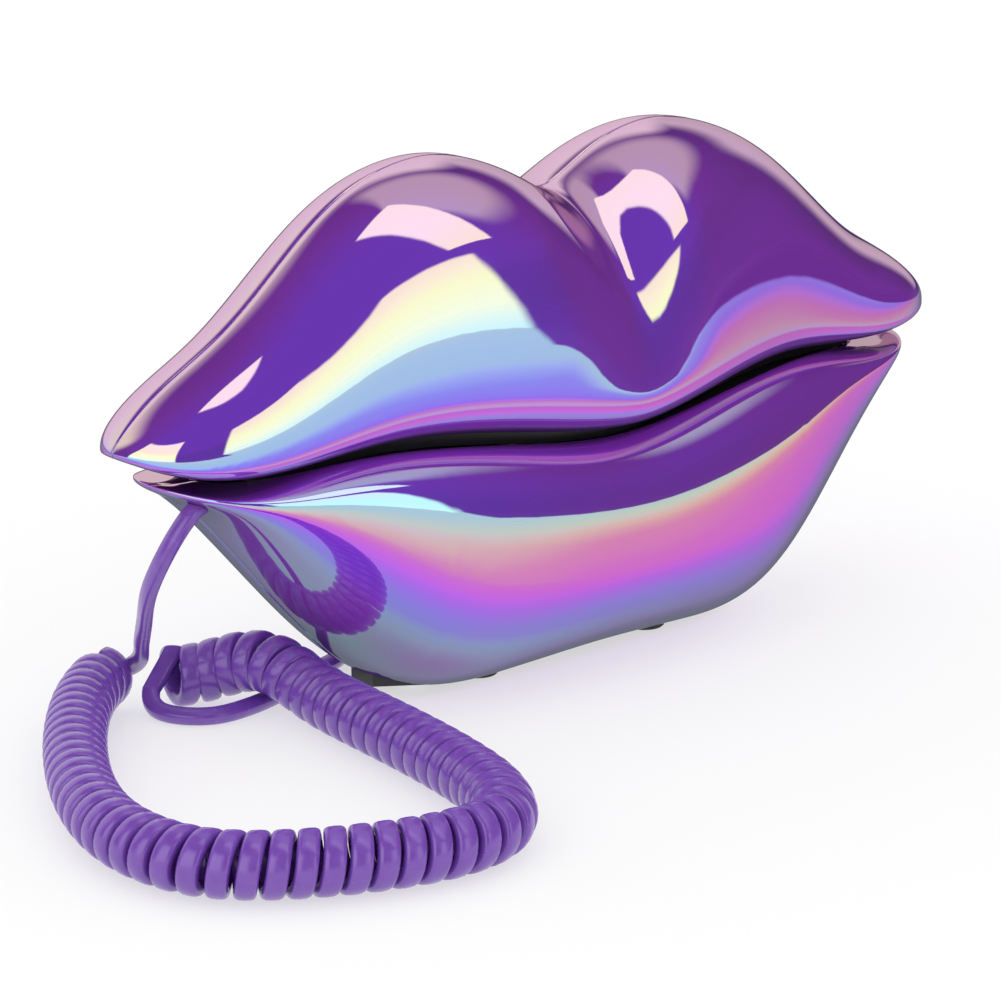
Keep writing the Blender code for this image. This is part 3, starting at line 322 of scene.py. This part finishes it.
def smooth_step(tree, item, low, high):
    """0 below low, 1 above high, and a smooth step between them; reversed when low is above high."""
    node = tree.nodes.new("ShaderNodeMapRange")
    node.interpolation_type = "SMOOTHSTEP"
    for name, given in (("Value", item), ("From Min", min(low, high)), ("From Max", max(low, high)),
                        ("To Min", 0.0 if low < high else 1.0), ("To Max", 1.0 if low < high else 0.0)):
        value_of(tree, node.inputs[name], given)
    return node.outputs["Result"]


def colour_ramp(tree, item, stops, interpolation="LINEAR"):
    """Colours at positions between 0 and 1."""
    node = tree.nodes.new("ShaderNodeValToRGB")
    ramp = node.color_ramp
    ramp.interpolation = interpolation
    while len(ramp.elements) < len(stops):
        ramp.elements.new(0.5)
    for element, (position, colour) in zip(ramp.elements, stops):
        element.position = position
        element.color = (*colour, 1.0)
    value_of(tree, node.inputs["Fac"], item)
    return node.outputs["Color"]


def noise(tree, scale, detail=3.0, stretch=(1.0, 1.0, 1.0)):
    """Noise in object space; scale is in repeats per metre."""
    place = tree.nodes.new("ShaderNodeTexCoord")
    mapping = tree.nodes.new("ShaderNodeMapping")
    mapping.inputs["Scale"].default_value = stretch
    link(tree, place.outputs["Object"], mapping.inputs["Vector"])
    node = tree.nodes.new("ShaderNodeTexNoise")
    node.inputs["Scale"].default_value = scale
    node.inputs["Detail"].default_value = detail
    link(tree, mapping.outputs["Vector"], node.inputs["Vector"])
    return node.outputs["Fac"]


def bump(tree, height, strength, distance):
    node = tree.nodes.new("ShaderNodeBump")
    node.inputs["Strength"].default_value = strength
    node.inputs["Distance"].default_value = distance
    link(tree, height, node.inputs["Height"])
    return node.outputs["Normal"]


def mix_colours(tree, factor, a, b, blend="MIX"):
    node = tree.nodes.new("ShaderNodeMix")
    node.data_type = "RGBA"
    node.blend_type = blend
    value_of(tree, node.inputs["Factor"], factor)
    for name, item in (("A", a), ("B", b)):
        socket = [s for s in node.inputs if s.name == name and s.type == "RGBA"][0]
        value_of(tree, socket, item if isinstance(item, bpy.types.NodeSocket) else (*item, 1.0))
    return [s for s in node.outputs if s.type == "RGBA"][0]


# Tint of the plating by a direction's height plus FACING_SHARE of how squarely the surface faces the eye.
# The colours were read off the photo, and helper programs turned them into tints.
FACING_SHARE = 0.64
LOWEST, HIGHEST = -1.0, 1.64
UPPER_PLATING = ((-0.60, (0.20, 0.30, 0.45)), (-0.40, (0.30, 0.35, 0.75)), (-0.20, (0.72, 0.20, 0.60)),
                 (-0.05, (0.56, 0.19, 0.23)), (0.00, (0.49, 0.47, 0.49)), (0.07, (0.63, 0.43, 0.19)),
                 (0.14, (0.60, 0.23, 0.21)), (0.20, (0.24, 0.22, 0.72)), (0.30, (0.22, 0.38, 0.81)),
                 (0.37, (0.38, 0.83, 0.68)), (0.50, (0.43, 0.89, 0.69)), (0.70, (0.83, 0.99, 0.45)),
                 (0.90, (0.86, 0.96, 0.26)), (1.10, (0.86, 0.74, 0.27)), (1.40, (0.88, 0.72, 0.50)))
LOWER_PLATING = ((-0.70, (0.12, 0.18, 0.02)), (-0.60, (0.15, 0.44, 0.23)), (-0.54, (0.12, 0.46, 0.33)),
                 (-0.46, (0.11, 0.33, 0.41)), (-0.38, (0.15, 0.31, 0.51)), (-0.30, (0.23, 0.28, 0.59)),
                 (-0.20, (0.35, 0.23, 0.67)), (-0.10, (0.52, 0.19, 0.67)), (0.02, (0.73, 0.19, 0.57)),
                 (0.12, (0.82, 0.23, 0.46)), (0.20, (0.91, 0.36, 0.27)), (0.26, (0.96, 0.70, 0.23)),
                 (0.33, (0.74, 0.98, 0.41)), (0.45, (0.51, 0.96, 0.61)), (0.70, (0.43, 0.96, 0.71)),
                 (1.20, (0.57, 0.80, 0.67)))
# Colour under the plating by how squarely the surface faces the eye: the plastic's violet, darker towards the
# outline and lighter where the surface faces the eye, which is painted shade.
UNDERCOAT_AND_OUTLINE_SHADE = ((0.00, (0.050, 0.018, 0.100)), (0.20, (0.080, 0.026, 0.160)), (0.30, (0.160, 0.050, 0.290)),
             (0.48, (0.230, 0.035, 0.440)), (0.68, (0.280, 0.042, 0.550)), (0.88, (0.250, 0.056, 0.820)))
# Tints at a grazing view: the plating's tint where the surface mirrors what is above the table, and a dark
# tint where it mirrors the table, which is painted shade in that reflection.
RIM_TINT = (0.98, 0.68, 0.76)
RIM_FACING = (0.80, 0.30)       # the tint comes in from the first value of facing to the second
MIRRORED_TABLE_SHADE = (0.17, 0.23, 0.20)
MIRRORED_TABLE_SHADE_FACING = (0.55, 0.20)
HORIZON = (-0.15, 0.10)         # a direction below this mirrors the table, and one above it the room


def plated_shell(name, plating):
    """Violet plastic under a mirror-like plating whose tint runs through the spectrum, with painted shade
    towards the outline and where it mirrors the table.
    """
    mat, tree, bsdf = new_material(name)
    place = tree.nodes.new("ShaderNodeTexCoord")
    parts = tree.nodes.new("ShaderNodeSeparateXYZ")
    link(tree, place.outputs["Reflection"], parts.inputs["Vector"])
    surface = tree.nodes.new("ShaderNodeNewGeometry")
    dot = tree.nodes.new("ShaderNodeVectorMath")
    dot.operation = "DOT_PRODUCT"
    link(tree, surface.outputs["Incoming"], dot.inputs[0])
    link(tree, surface.outputs["Normal"], dot.inputs[1])
    facing = dot.outputs["Value"]
    drift = math_node(tree, "MULTIPLY_ADD", noise(tree, 14.0, 2.0), 0.06, -0.03)
    travel = math_node(tree, "MULTIPLY_ADD", facing, FACING_SHARE, parts.outputs["Z"])
    travel = math_node(tree, "ADD", travel, drift)
    spread = HIGHEST - LOWEST
    travel = math_node(tree, "MULTIPLY_ADD", travel, 1.0 / spread, -LOWEST / spread)
    tint = colour_ramp(tree, travel, [((stop - LOWEST) / spread, colour) for stop, colour in plating])
    rim = math_node(tree, "MULTIPLY", smooth_step(tree, facing, *RIM_FACING),
                    smooth_step(tree, parts.outputs["Z"], *HORIZON))
    # Painted shade: a dark tint where the surface mirrors the table at a grazing view.
    low = math_node(tree, "MULTIPLY", smooth_step(tree, facing, *MIRRORED_TABLE_SHADE_FACING),
                    smooth_step(tree, parts.outputs["Z"], *HORIZON[::-1]))
    tint = mix_colours(tree, low, mix_colours(tree, rim, tint, RIM_TINT), MIRRORED_TABLE_SHADE)
    link(tree, tint, bsdf.inputs["Specular Tint"])
    # Base colour: the violet plastic, with painted shade darkening it towards the outline.
    link(tree, colour_ramp(tree, facing, UNDERCOAT_AND_OUTLINE_SHADE), bsdf.inputs["Base Color"])
    bsdf.inputs["IOR"].default_value = 4.0
    bsdf.inputs["Specular IOR Level"].default_value = 0.85
    wear = noise(tree, 900.0, 4.0)
    value_of(tree, bsdf.inputs["Roughness"], math_node(tree, "MULTIPLY_ADD", wear, 0.03, 0.015))
    link(tree, bump(tree, noise(tree, 160.0, 1.0), 0.04, 0.0004), bsdf.inputs["Normal"])
    return mat


def cord_jacket():
    """Satin violet cable jacket, faintly scuffed."""
    mat, tree, bsdf = new_material("cord_jacket")
    scuff = noise(tree, 500.0, 4.0)
    shade = mix_colours(tree, scuff, (0.140, 0.042, 0.350), (0.200, 0.072, 0.450))
    link(tree, shade, bsdf.inputs["Base Color"])
    value_of(tree, bsdf.inputs["Roughness"], math_node(tree, "MULTIPLY_ADD", scuff, 0.14, 0.18))
    bsdf.inputs["Specular IOR Level"].default_value = 0.8
    link(tree, bump(tree, noise(tree, 1500.0, 3.0), 0.10, 0.0001), bsdf.inputs["Normal"])
    return mat


def grained_plastic(name, dark, light, roughness, grain=2600.0, depth=0.00006):
    """Moulded plastic or rubber with a fine spark-eroded grain and slight shade changes."""
    mat, tree, bsdf = new_material(name)
    shade = mix_colours(tree, noise(tree, 90.0, 3.0), dark, light)
    link(tree, shade, bsdf.inputs["Base Color"])
    grains = noise(tree, grain, 2.0)
    value_of(tree, bsdf.inputs["Roughness"], math_node(tree, "MULTIPLY_ADD", grains, 0.15, roughness - 0.07))
    link(tree, bump(tree, grains, 0.5, depth), bsdf.inputs["Normal"])
    return mat


def brushed_steel():
    """Bright steel with fine streaks."""
    mat, tree, bsdf = new_material("brushed_steel")
    streaks = noise(tree, 800.0, 3.0, (0.05, 1.0, 1.0))
    shade = mix_colours(tree, streaks, (0.50, 0.50, 0.52), (0.70, 0.70, 0.71))
    link(tree, shade, bsdf.inputs["Base Color"])
    bsdf.inputs["Metallic"].default_value = 1.0
    value_of(tree, bsdf.inputs["Roughness"], math_node(tree, "MULTIPLY_ADD", streaks, 0.25, 0.18))
    link(tree, bump(tree, streaks, 0.15, 0.00005), bsdf.inputs["Normal"])
    return mat


def circuit_board():
    """Green solder mask over copper tracks."""
    mat, tree, bsdf = new_material("circuit_board")
    place = tree.nodes.new("ShaderNodeTexCoord")
    tracks = tree.nodes.new("ShaderNodeTexBrick")
    tracks.inputs["Scale"].default_value = 140.0
    tracks.inputs["Mortar Size"].default_value = 0.08
    tracks.inputs["Color1"].default_value = (0.010, 0.110, 0.035, 1.0)
    tracks.inputs["Color2"].default_value = (0.014, 0.150, 0.050, 1.0)
    tracks.inputs["Mortar"].default_value = (0.050, 0.260, 0.080, 1.0)
    link(tree, place.outputs["Object"], tracks.inputs["Vector"])
    link(tree, tracks.outputs["Color"], bsdf.inputs["Base Color"])
    value_of(tree, bsdf.inputs["Roughness"], math_node(tree, "MULTIPLY_ADD", noise(tree, 300.0), 0.2, 0.25))
    link(tree, bump(tree, tracks.outputs["Fac"], 0.4, 0.00005), bsdf.inputs["Normal"])
    return mat


UPPER_SHELL = plated_shell("upper_shell", UPPER_PLATING)
LOWER_SHELL = plated_shell("lower_shell", LOWER_PLATING)
CORD = cord_jacket()
BLACK = grained_plastic("black_moulding", (0.010, 0.010, 0.012), (0.018, 0.018, 0.021), 0.38)
RUBBER = grained_plastic("black_rubber", (0.022, 0.022, 0.023), (0.036, 0.036, 0.037), 0.80, 1600.0, 0.0001)
KEY = grained_plastic("key_moulding", (0.72, 0.72, 0.75), (0.80, 0.80, 0.82), 0.32, 3200.0, 0.00003)
PALE = grained_plastic("pale_moulding", (0.66, 0.65, 0.60), (0.76, 0.75, 0.70), 0.22, 2000.0, 0.00003)
STEEL = brushed_steel()
BOARD = circuit_board()
BY_SLOT = {"violet_shell": UPPER_SHELL, "violet_cord": CORD, "black_plastic": BLACK, "black_rubber": RUBBER,
           "key_plastic": KEY, "clear_plastic": PALE, "steel": STEEL, "green_board": BOARD}


def dress_frame():
    """Give every solid of the frame the material of its slot."""
    for part in frame["record"]["subparts"]:
        obj = frame["nodes"][part["node"]]
        obj.data.materials.clear()
        obj.data.materials.append(BY_SLOT[part["material_slot"]])


# ---------------------------------------------------------------- pieces
def make_piece(name, bm, mat, sharp=40.0):
    bmesh.ops.recalc_face_normals(bm, faces=bm.faces)
    mesh = bpy.data.meshes.new(name)
    bm.to_mesh(mesh)
    bm.free()
    mesh.shade_smooth()
    mesh.set_sharp_from_angle(angle=math.radians(sharp))
    mesh.materials.append(mat)
    obj = bpy.data.objects.new(name, mesh)
    bpy.context.scene.collection.objects.link(obj)
    return obj


def stations():
    """Stations from tip to tip, closer together towards the tips."""
    return [math.sin(math.pi * (i / STATIONS - 0.5)) for i in range(STATIONS + 1)]


def section_steps(lip, u, facing):
    """(angle, wall) pairs once round a half shell's section, with rounded rims."""
    first = lip.mouth_angle(u)
    last = lip.underside_angle(u, facing) if lip.side < 0 else math.pi / 2
    turn = RIM_ROUND / max(lip.height(abs(u)), lip.half_depth(u, facing))
    rim = ((1.0, 0.0), (0.62, 0.08), (0.29, 0.29), (0.08, 0.62), (0.0, 1.0))
    steps = [(first + turn * a, RIM_ROUND * w) for a, w in reversed(rim)]
    outside = np.linspace(first + turn, last - turn, RINGS + 1)[1:-1]
    steps += [(a, 0.0) for a in outside]
    steps += [(last - turn * a, RIM_ROUND * w) for a, w in rim]
    inside = np.linspace(last, first, RINGS // 2 + 1)
    steps += [(a, WALL) for a in inside]
    return steps


def casing(name, lip, facing, node, body):
    """Front or rear half of a lip's casing, a closed shell with rounded rims."""
    bm = bmesh.new()
    rows = []
    for u in stations():
        if abs(u) > 0.99999:
            rows.append([bm.verts.new(lip.point(u, 0.0, facing))])
            continue
        rows.append([bm.verts.new(lip.point(u, a, facing, w)) for a, w in section_steps(lip, u, facing)])
    count = len(rows[1])
    for left, right in zip(rows, rows[1:]):
        for k in range(count):
            j = (k + 1) % count
            patch = [left[k % len(left)], right[k % len(right)], right[j % len(right)], left[j % len(left)]]
            bm.faces.new(list(dict.fromkeys(patch)))
    obj = make_piece(name, bm, UPPER_SHELL if lip.side > 0 else LOWER_SHELL, 60.0)
    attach(obj, body)
    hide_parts(node)
    return obj


def open_around(obj, node):
    """Cut a casing open round a piece whose face shows in its back."""
    piece = frame["nodes"][node]
    corners = [piece.matrix_world @ Vector(corner) for corner in piece.bound_box]
    low = Vector([min(c[i] for c in corners) for i in range(3)])
    high = Vector([max(c[i] for c in corners) for i in range(3)]) + Vector((0.0, OPENING_REACH, 0.0))
    slack = Vector((OPENING_SLACK, 0.0, OPENING_SLACK))
    bm = bmesh.new()
    bmesh.ops.create_cube(bm, size=1.0)
    for vertex in bm.verts:
        vertex.co = (low + high) / 2 + Vector([a * b for a, b in zip(vertex.co, high - low + 2 * slack)])
    cutter = make_piece("cutter", bm, BLACK)
    modifier = obj.modifiers.new("opening", "BOOLEAN")
    modifier.operation = "DIFFERENCE"
    modifier.solver = "EXACT"
    modifier.object = cutter
    bpy.context.view_layer.update()
    whole = obj.data
    obj.data = bpy.data.meshes.new_from_object(obj.evaluated_get(bpy.context.evaluated_depsgraph_get()))
    obj.modifiers.clear()
    obj.data.name = whole.name
    bpy.data.meshes.remove(whole)
    bpy.data.objects.remove(cutter)


def casings():
    casing("handset_front_casing", UPPER, -1, "handset_front_shell", "handset")
    casing("handset_rear_casing", UPPER, 1, "handset_rear_shell", "handset")
    casing("base_front_casing", LOWER, -1, "base_front_shell", "base")
    open_around(casing("base_rear_casing", LOWER, 1, "base_rear_shell", "base"), "line_socket")


# ---------------------------------------------------------------- cord
CABLE_SIDES = 16
TURN_STEPS = 28
EDGE_POWER = 0.62           # below 1 the cable's section is a rounded box


def coil_height(x, y):
    """Height of the coil's axis: it lies on the table and climbs over its own lead."""
    reach = math.dist((x, y), CROSSING) / CROSSING_REACH
    return COIL_Z + CROSSING_RISE * math.exp(-reach ** 2)


def cable_section(width, thickness):
    """Offsets round a flat cable with rounded edges, across its width and through its thickness."""
    points = []
    for k in range(CABLE_SIDES):
        a = 2 * math.pi * k / CABLE_SIDES
        c, s = math.cos(a), math.sin(a)
        across = width / 2 * math.copysign(abs(c) ** EDGE_POWER, c)
        through = thickness / 2 * math.copysign(abs(s) ** EDGE_POWER, s)
        points.append((across, through))
    return points


def carried_frames(path, start_side):
    """Direction and a side vector without twist at each point of a path."""
    side = Vector(start_side)
    frames = []
    for i in range(len(path)):
        ahead = (path[min(i + 1, len(path) - 1)] - path[max(i - 1, 0)]).normalized()
        side = (side - ahead * side.dot(ahead)).normalized()
        frames.append((ahead, side.copy()))
    return frames


def helix(axis_path):
    """Centre line of the coiled cable and its outward direction at each point, left-handed."""
    centre = COIL_RADIUS - TURN_THICKNESS / 2
    frames = carried_frames(axis_path, (0.0, 0.0, 1.0))
    points = []
    for i, (p, (ahead, side)) in enumerate(zip(axis_path, frames)):
        a = -2 * math.pi * i / TURN_STEPS
        out = math.cos(a) * side + math.sin(a) * ahead.cross(side)
        points.append((p + centre * out, out))
    return points


def coiled_cord():
    """One cable: near lead, the coil on the table and the far lead up to the handset."""
    near = smooth_path([*INNER_LEAD, LEAD_ENTRY, *NEAR_LEAD], NEAR_STEPS)
    axis = smooth_path([(x, y, coil_height(x, y)) for x, y in LOOP], COIL_TURNS * TURN_STEPS + 1)
    back_y = UPPER.wall_y(CORD_UP_X, CORD_UP_Z, 1)
    behind, above = CORD_UP_APPROACH
    far = smooth_path([*FAR_LEAD, (CORD_UP_X, back_y + behind, CORD_UP_Z + above),
                       (CORD_UP_X, back_y + CORD_UP_END, CORD_UP_Z)], FAR_STEPS)
    coil = helix(axis)
    bm = bmesh.new()
    rings = []

    def add_run(points, outs, width, thickness):
        section = cable_section(width, thickness)
        for i, (p, out) in enumerate(zip(points, outs)):
            ahead = (points[min(i + 1, len(points) - 1)] - points[max(i - 1, 0)]).normalized()
            across = ahead.cross(out).normalized()
            proper_out = across.cross(ahead)
            rings.append([bm.verts.new(p + a * across + b * proper_out) for a, b in section])

    near_frames = carried_frames(near, (0.0, 0.0, 1.0))
    add_run(near, [side for _, side in near_frames], LEAD_WIDTH, LEAD_THICKNESS)
    add_run([p for p, _ in coil], [out for _, out in coil], TURN_WIDTH, TURN_THICKNESS)
    far_frames = carried_frames(far, (0.0, 0.0, 1.0))
    add_run(far, [side for _, side in far_frames], LEAD_WIDTH, LEAD_THICKNESS)
    for low, high in zip(rings, rings[1:]):
        for k in range(CABLE_SIDES):
            j = (k + 1) % CABLE_SIDES
            bm.faces.new((low[k], low[j], high[j], high[k]))
    bm.faces.new(rings[0][::-1])
    bm.faces.new(rings[-1])
    obj = make_piece("coiled_cord", bm, CORD, 60.0)
    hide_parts("handset_cord")
    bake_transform(obj)
    return obj


# ---------------------------------------------------------------- stage
FLOOR_SIZE = 12.0
GLOW_CENTRE = (-0.55, 0.15, 0.0)    # the lit part of the table, as the plating mirrors it
GLOW_RADIUS = 1.25
GLOW_EDGE = 0.05
GLOW_LIGHT = 0.92           # its light over that of the rest of the table
UNLIT_LIGHT = 0.03
FLOOR_LIGHT = 0.6           # how much of the table's white, for the eye, is even light without shadows

# Upright lamps by azimuth (0 at the front, growing towards +X) and elevation, in degrees: box, softness,
# strength.
WALL_LAMPS = (((-118.0, -50.0, -20.0, 48.0), 1.5, 1.7),
              ((-1.0, 20.0, -15.0, 32.0), 1.0, 1.6),
              ((40.0, 170.0, 48.0, 88.0), 7.0, 0.6),
              ((98.0, 145.0, -20.0, 30.0), 8.0, 0.8),
              ((132.0, 190.0, -20.0, 42.0), 7.0, 1.05),
              ((-190.0, -145.0, -20.0, 42.0), 7.0, 1.05))


def azimuth_of(tree, parts):
    """Azimuth in degrees of separated coordinates, 0 at the front and growing towards +X."""
    away = math_node(tree, "MULTIPLY", parts.outputs["Y"], -1.0)
    return math_node(tree, "DEGREES", math_node(tree, "ARCTAN2", parts.outputs["X"], away))


def studio_floor():
    """Pale table; mirrored in the plating, it is lit near the telephone and falls dark further out."""
    bm = bmesh.new()
    bmesh.ops.create_grid(bm, x_segments=1, y_segments=1, size=FLOOR_SIZE / 2)
    mat, tree, bsdf = new_material("studio_floor")
    floor = make_piece("studio_floor", bm, mat)
    bsdf.inputs["Base Color"].default_value = (0.90, 0.90, 0.90, 1.0)
    bsdf.inputs["Roughness"].default_value = 0.9
    bsdf.inputs["Specular IOR Level"].default_value = 0.0
    path = tree.nodes.new("ShaderNodeLightPath")
    place = tree.nodes.new("ShaderNodeTexCoord")
    far = tree.nodes.new("ShaderNodeVectorMath")
    far.operation = "DISTANCE"
    link(tree, place.outputs["Object"], far.inputs[0])
    far.inputs[1].default_value = GLOW_CENTRE
    glow = tree.nodes.new("ShaderNodeEmission")
    lit = smooth_step(tree, far.outputs["Value"], GLOW_RADIUS + GLOW_EDGE, GLOW_RADIUS - GLOW_EDGE)
    spot = tree.nodes.new("ShaderNodeSeparateXYZ")
    link(tree, place.outputs["Object"], spot.inputs["Vector"])
    azimuth = azimuth_of(tree, spot)
    for (left, right, _, _), soft, _ in WALL_LAMPS[:2]:
        under = math_node(tree, "MULTIPLY", smooth_step(tree, azimuth, left - soft, left + soft),
                          smooth_step(tree, azimuth, right + soft, right - soft))
        lit = math_node(tree, "MAXIMUM", lit, under)
    value_of(tree, glow.inputs["Strength"], math_node(tree, "MULTIPLY_ADD", lit, GLOW_LIGHT, UNLIT_LIGHT))
    even = tree.nodes.new("ShaderNodeEmission")
    soft = tree.nodes.new("ShaderNodeMixShader")
    soft.inputs["Fac"].default_value = FLOOR_LIGHT
    link(tree, bsdf.outputs["BSDF"], soft.inputs[1])
    link(tree, even.outputs["Emission"], soft.inputs[2])
    mix = tree.nodes.new("ShaderNodeMixShader")
    link(tree, path.outputs["Is Glossy Ray"], mix.inputs["Fac"])
    link(tree, soft.outputs["Shader"], mix.inputs[1])
    link(tree, glow.outputs["Emission"], mix.inputs[2])
    link(tree, mix.outputs["Shader"], tree.nodes["Material Output"].inputs["Surface"])
    return floor


def lamp_mask(tree, across, along, box, soft):
    """1 inside a box (left, right, low, high) of two coordinates and 0 outside it."""
    left, right, low, high = box
    mask = smooth_step(tree, across, left - soft, left + soft)
    for side in (smooth_step(tree, across, right + soft, right - soft),
                 smooth_step(tree, along, low - soft, low + soft),
                 smooth_step(tree, along, high + soft, high - soft)):
        mask = math_node(tree, "MULTIPLY", mask, side)
    return mask


# Long lamp overhead on a plane one unit up: turned by this azimuth, then box, softness, strength.
CEILING_AZIMUTH = 24.0
CEILING_LAMP = ((-0.19, 0.14, -0.12, 1.28), 0.015, 1.6)
ROOM = 0.02                 # light of the unlit room in the plating
DOME_LIGHT = 1.15           # light from all round on everything that isn't mirrored


def studio_world():
    """White to the camera, an even dome for soft shading, and a dark room with lamps in the reflections."""
    world = bpy.data.worlds.new("studio_world")
    world.use_nodes = True
    bpy.context.scene.world = world
    tree = world.node_tree
    background = tree.nodes["Background"]
    place = tree.nodes.new("ShaderNodeTexCoord")
    parts = tree.nodes.new("ShaderNodeSeparateXYZ")
    link(tree, place.outputs["Generated"], parts.inputs["Vector"])
    azimuth = azimuth_of(tree, parts)
    elevation = math_node(tree, "DEGREES", math_node(tree, "ARCSINE", parts.outputs["Z"]))
    light = ROOM
    for box, soft, strength in WALL_LAMPS:
        mask = lamp_mask(tree, azimuth, elevation, box, soft)
        lamp = math_node(tree, "MULTIPLY", mask, strength)
        light = math_node(tree, "MAXIMUM", light, lamp)
    overhead = math_node(tree, "MAXIMUM", parts.outputs["Z"], 0.001)
    x = math_node(tree, "DIVIDE", parts.outputs["X"], overhead)
    y = math_node(tree, "DIVIDE", parts.outputs["Y"], overhead)
    cosine, sine = math.cos(math.radians(CEILING_AZIMUTH)), math.sin(math.radians(CEILING_AZIMUTH))
    across = math_node(tree, "ADD", math_node(tree, "MULTIPLY", x, cosine),
                       math_node(tree, "MULTIPLY", y, sine))
    along = math_node(tree, "SUBTRACT", math_node(tree, "MULTIPLY", x, sine),
                      math_node(tree, "MULTIPLY", y, cosine))
    box, soft, strength = CEILING_LAMP
    lamp = math_node(tree, "MULTIPLY", lamp_mask(tree, across, along, box, soft), strength)
    light = math_node(tree, "MAXIMUM", light, lamp)
    path = tree.nodes.new("ShaderNodeLightPath")
    mirrored = math_node(tree, "MULTIPLY", light, path.outputs["Is Glossy Ray"])
    even = math_node(tree, "SUBTRACT", 1.0, path.outputs["Is Glossy Ray"])
    dome = math_node(tree, "MULTIPLY", even, DOME_LIGHT)
    value_of(tree, background.inputs["Strength"], math_node(tree, "ADD", mirrored, dome))
    background.inputs["Color"].default_value = (1.0, 1.0, 1.0, 1.0)


# ---------------------------------------------------------------- camera
# The search program that fitted the lips' form also gave these.
CAMERA_AZIMUTH = 41.97      # degrees to the left of the front
CAMERA_ELEVATION = 14.80
CAMERA_DISTANCE = 0.7989
CAMERA_TARGET = (0.0, 0.0, 0.0523)
CAMERA_LENS = 135.98
CAMERA_SHIFT = (-0.0382, -0.0963)


def studio_camera():
    azimuth, elevation = math.radians(CAMERA_AZIMUTH), math.radians(CAMERA_ELEVATION)
    back = Vector((-math.sin(azimuth) * math.cos(elevation), -math.cos(azimuth) * math.cos(elevation),
                   math.sin(elevation)))
    data = bpy.data.cameras.new("studio_camera")
    data.lens = CAMERA_LENS
    data.sensor_width = 36.0
    data.shift_x, data.shift_y = CAMERA_SHIFT
    camera = bpy.data.objects.new("studio_camera", data)
    camera.location = Vector(CAMERA_TARGET) + CAMERA_DISTANCE * back
    camera.rotation_euler = back.to_track_quat("Z", "Y").to_euler()
    bpy.context.scene.collection.objects.link(camera)
    bpy.context.scene.camera = camera


dress_frame()
casings()
coiled_cord()
studio_floor()
studio_world()
studio_camera()
bpy.context.scene.view_settings.view_transform = "Standard"
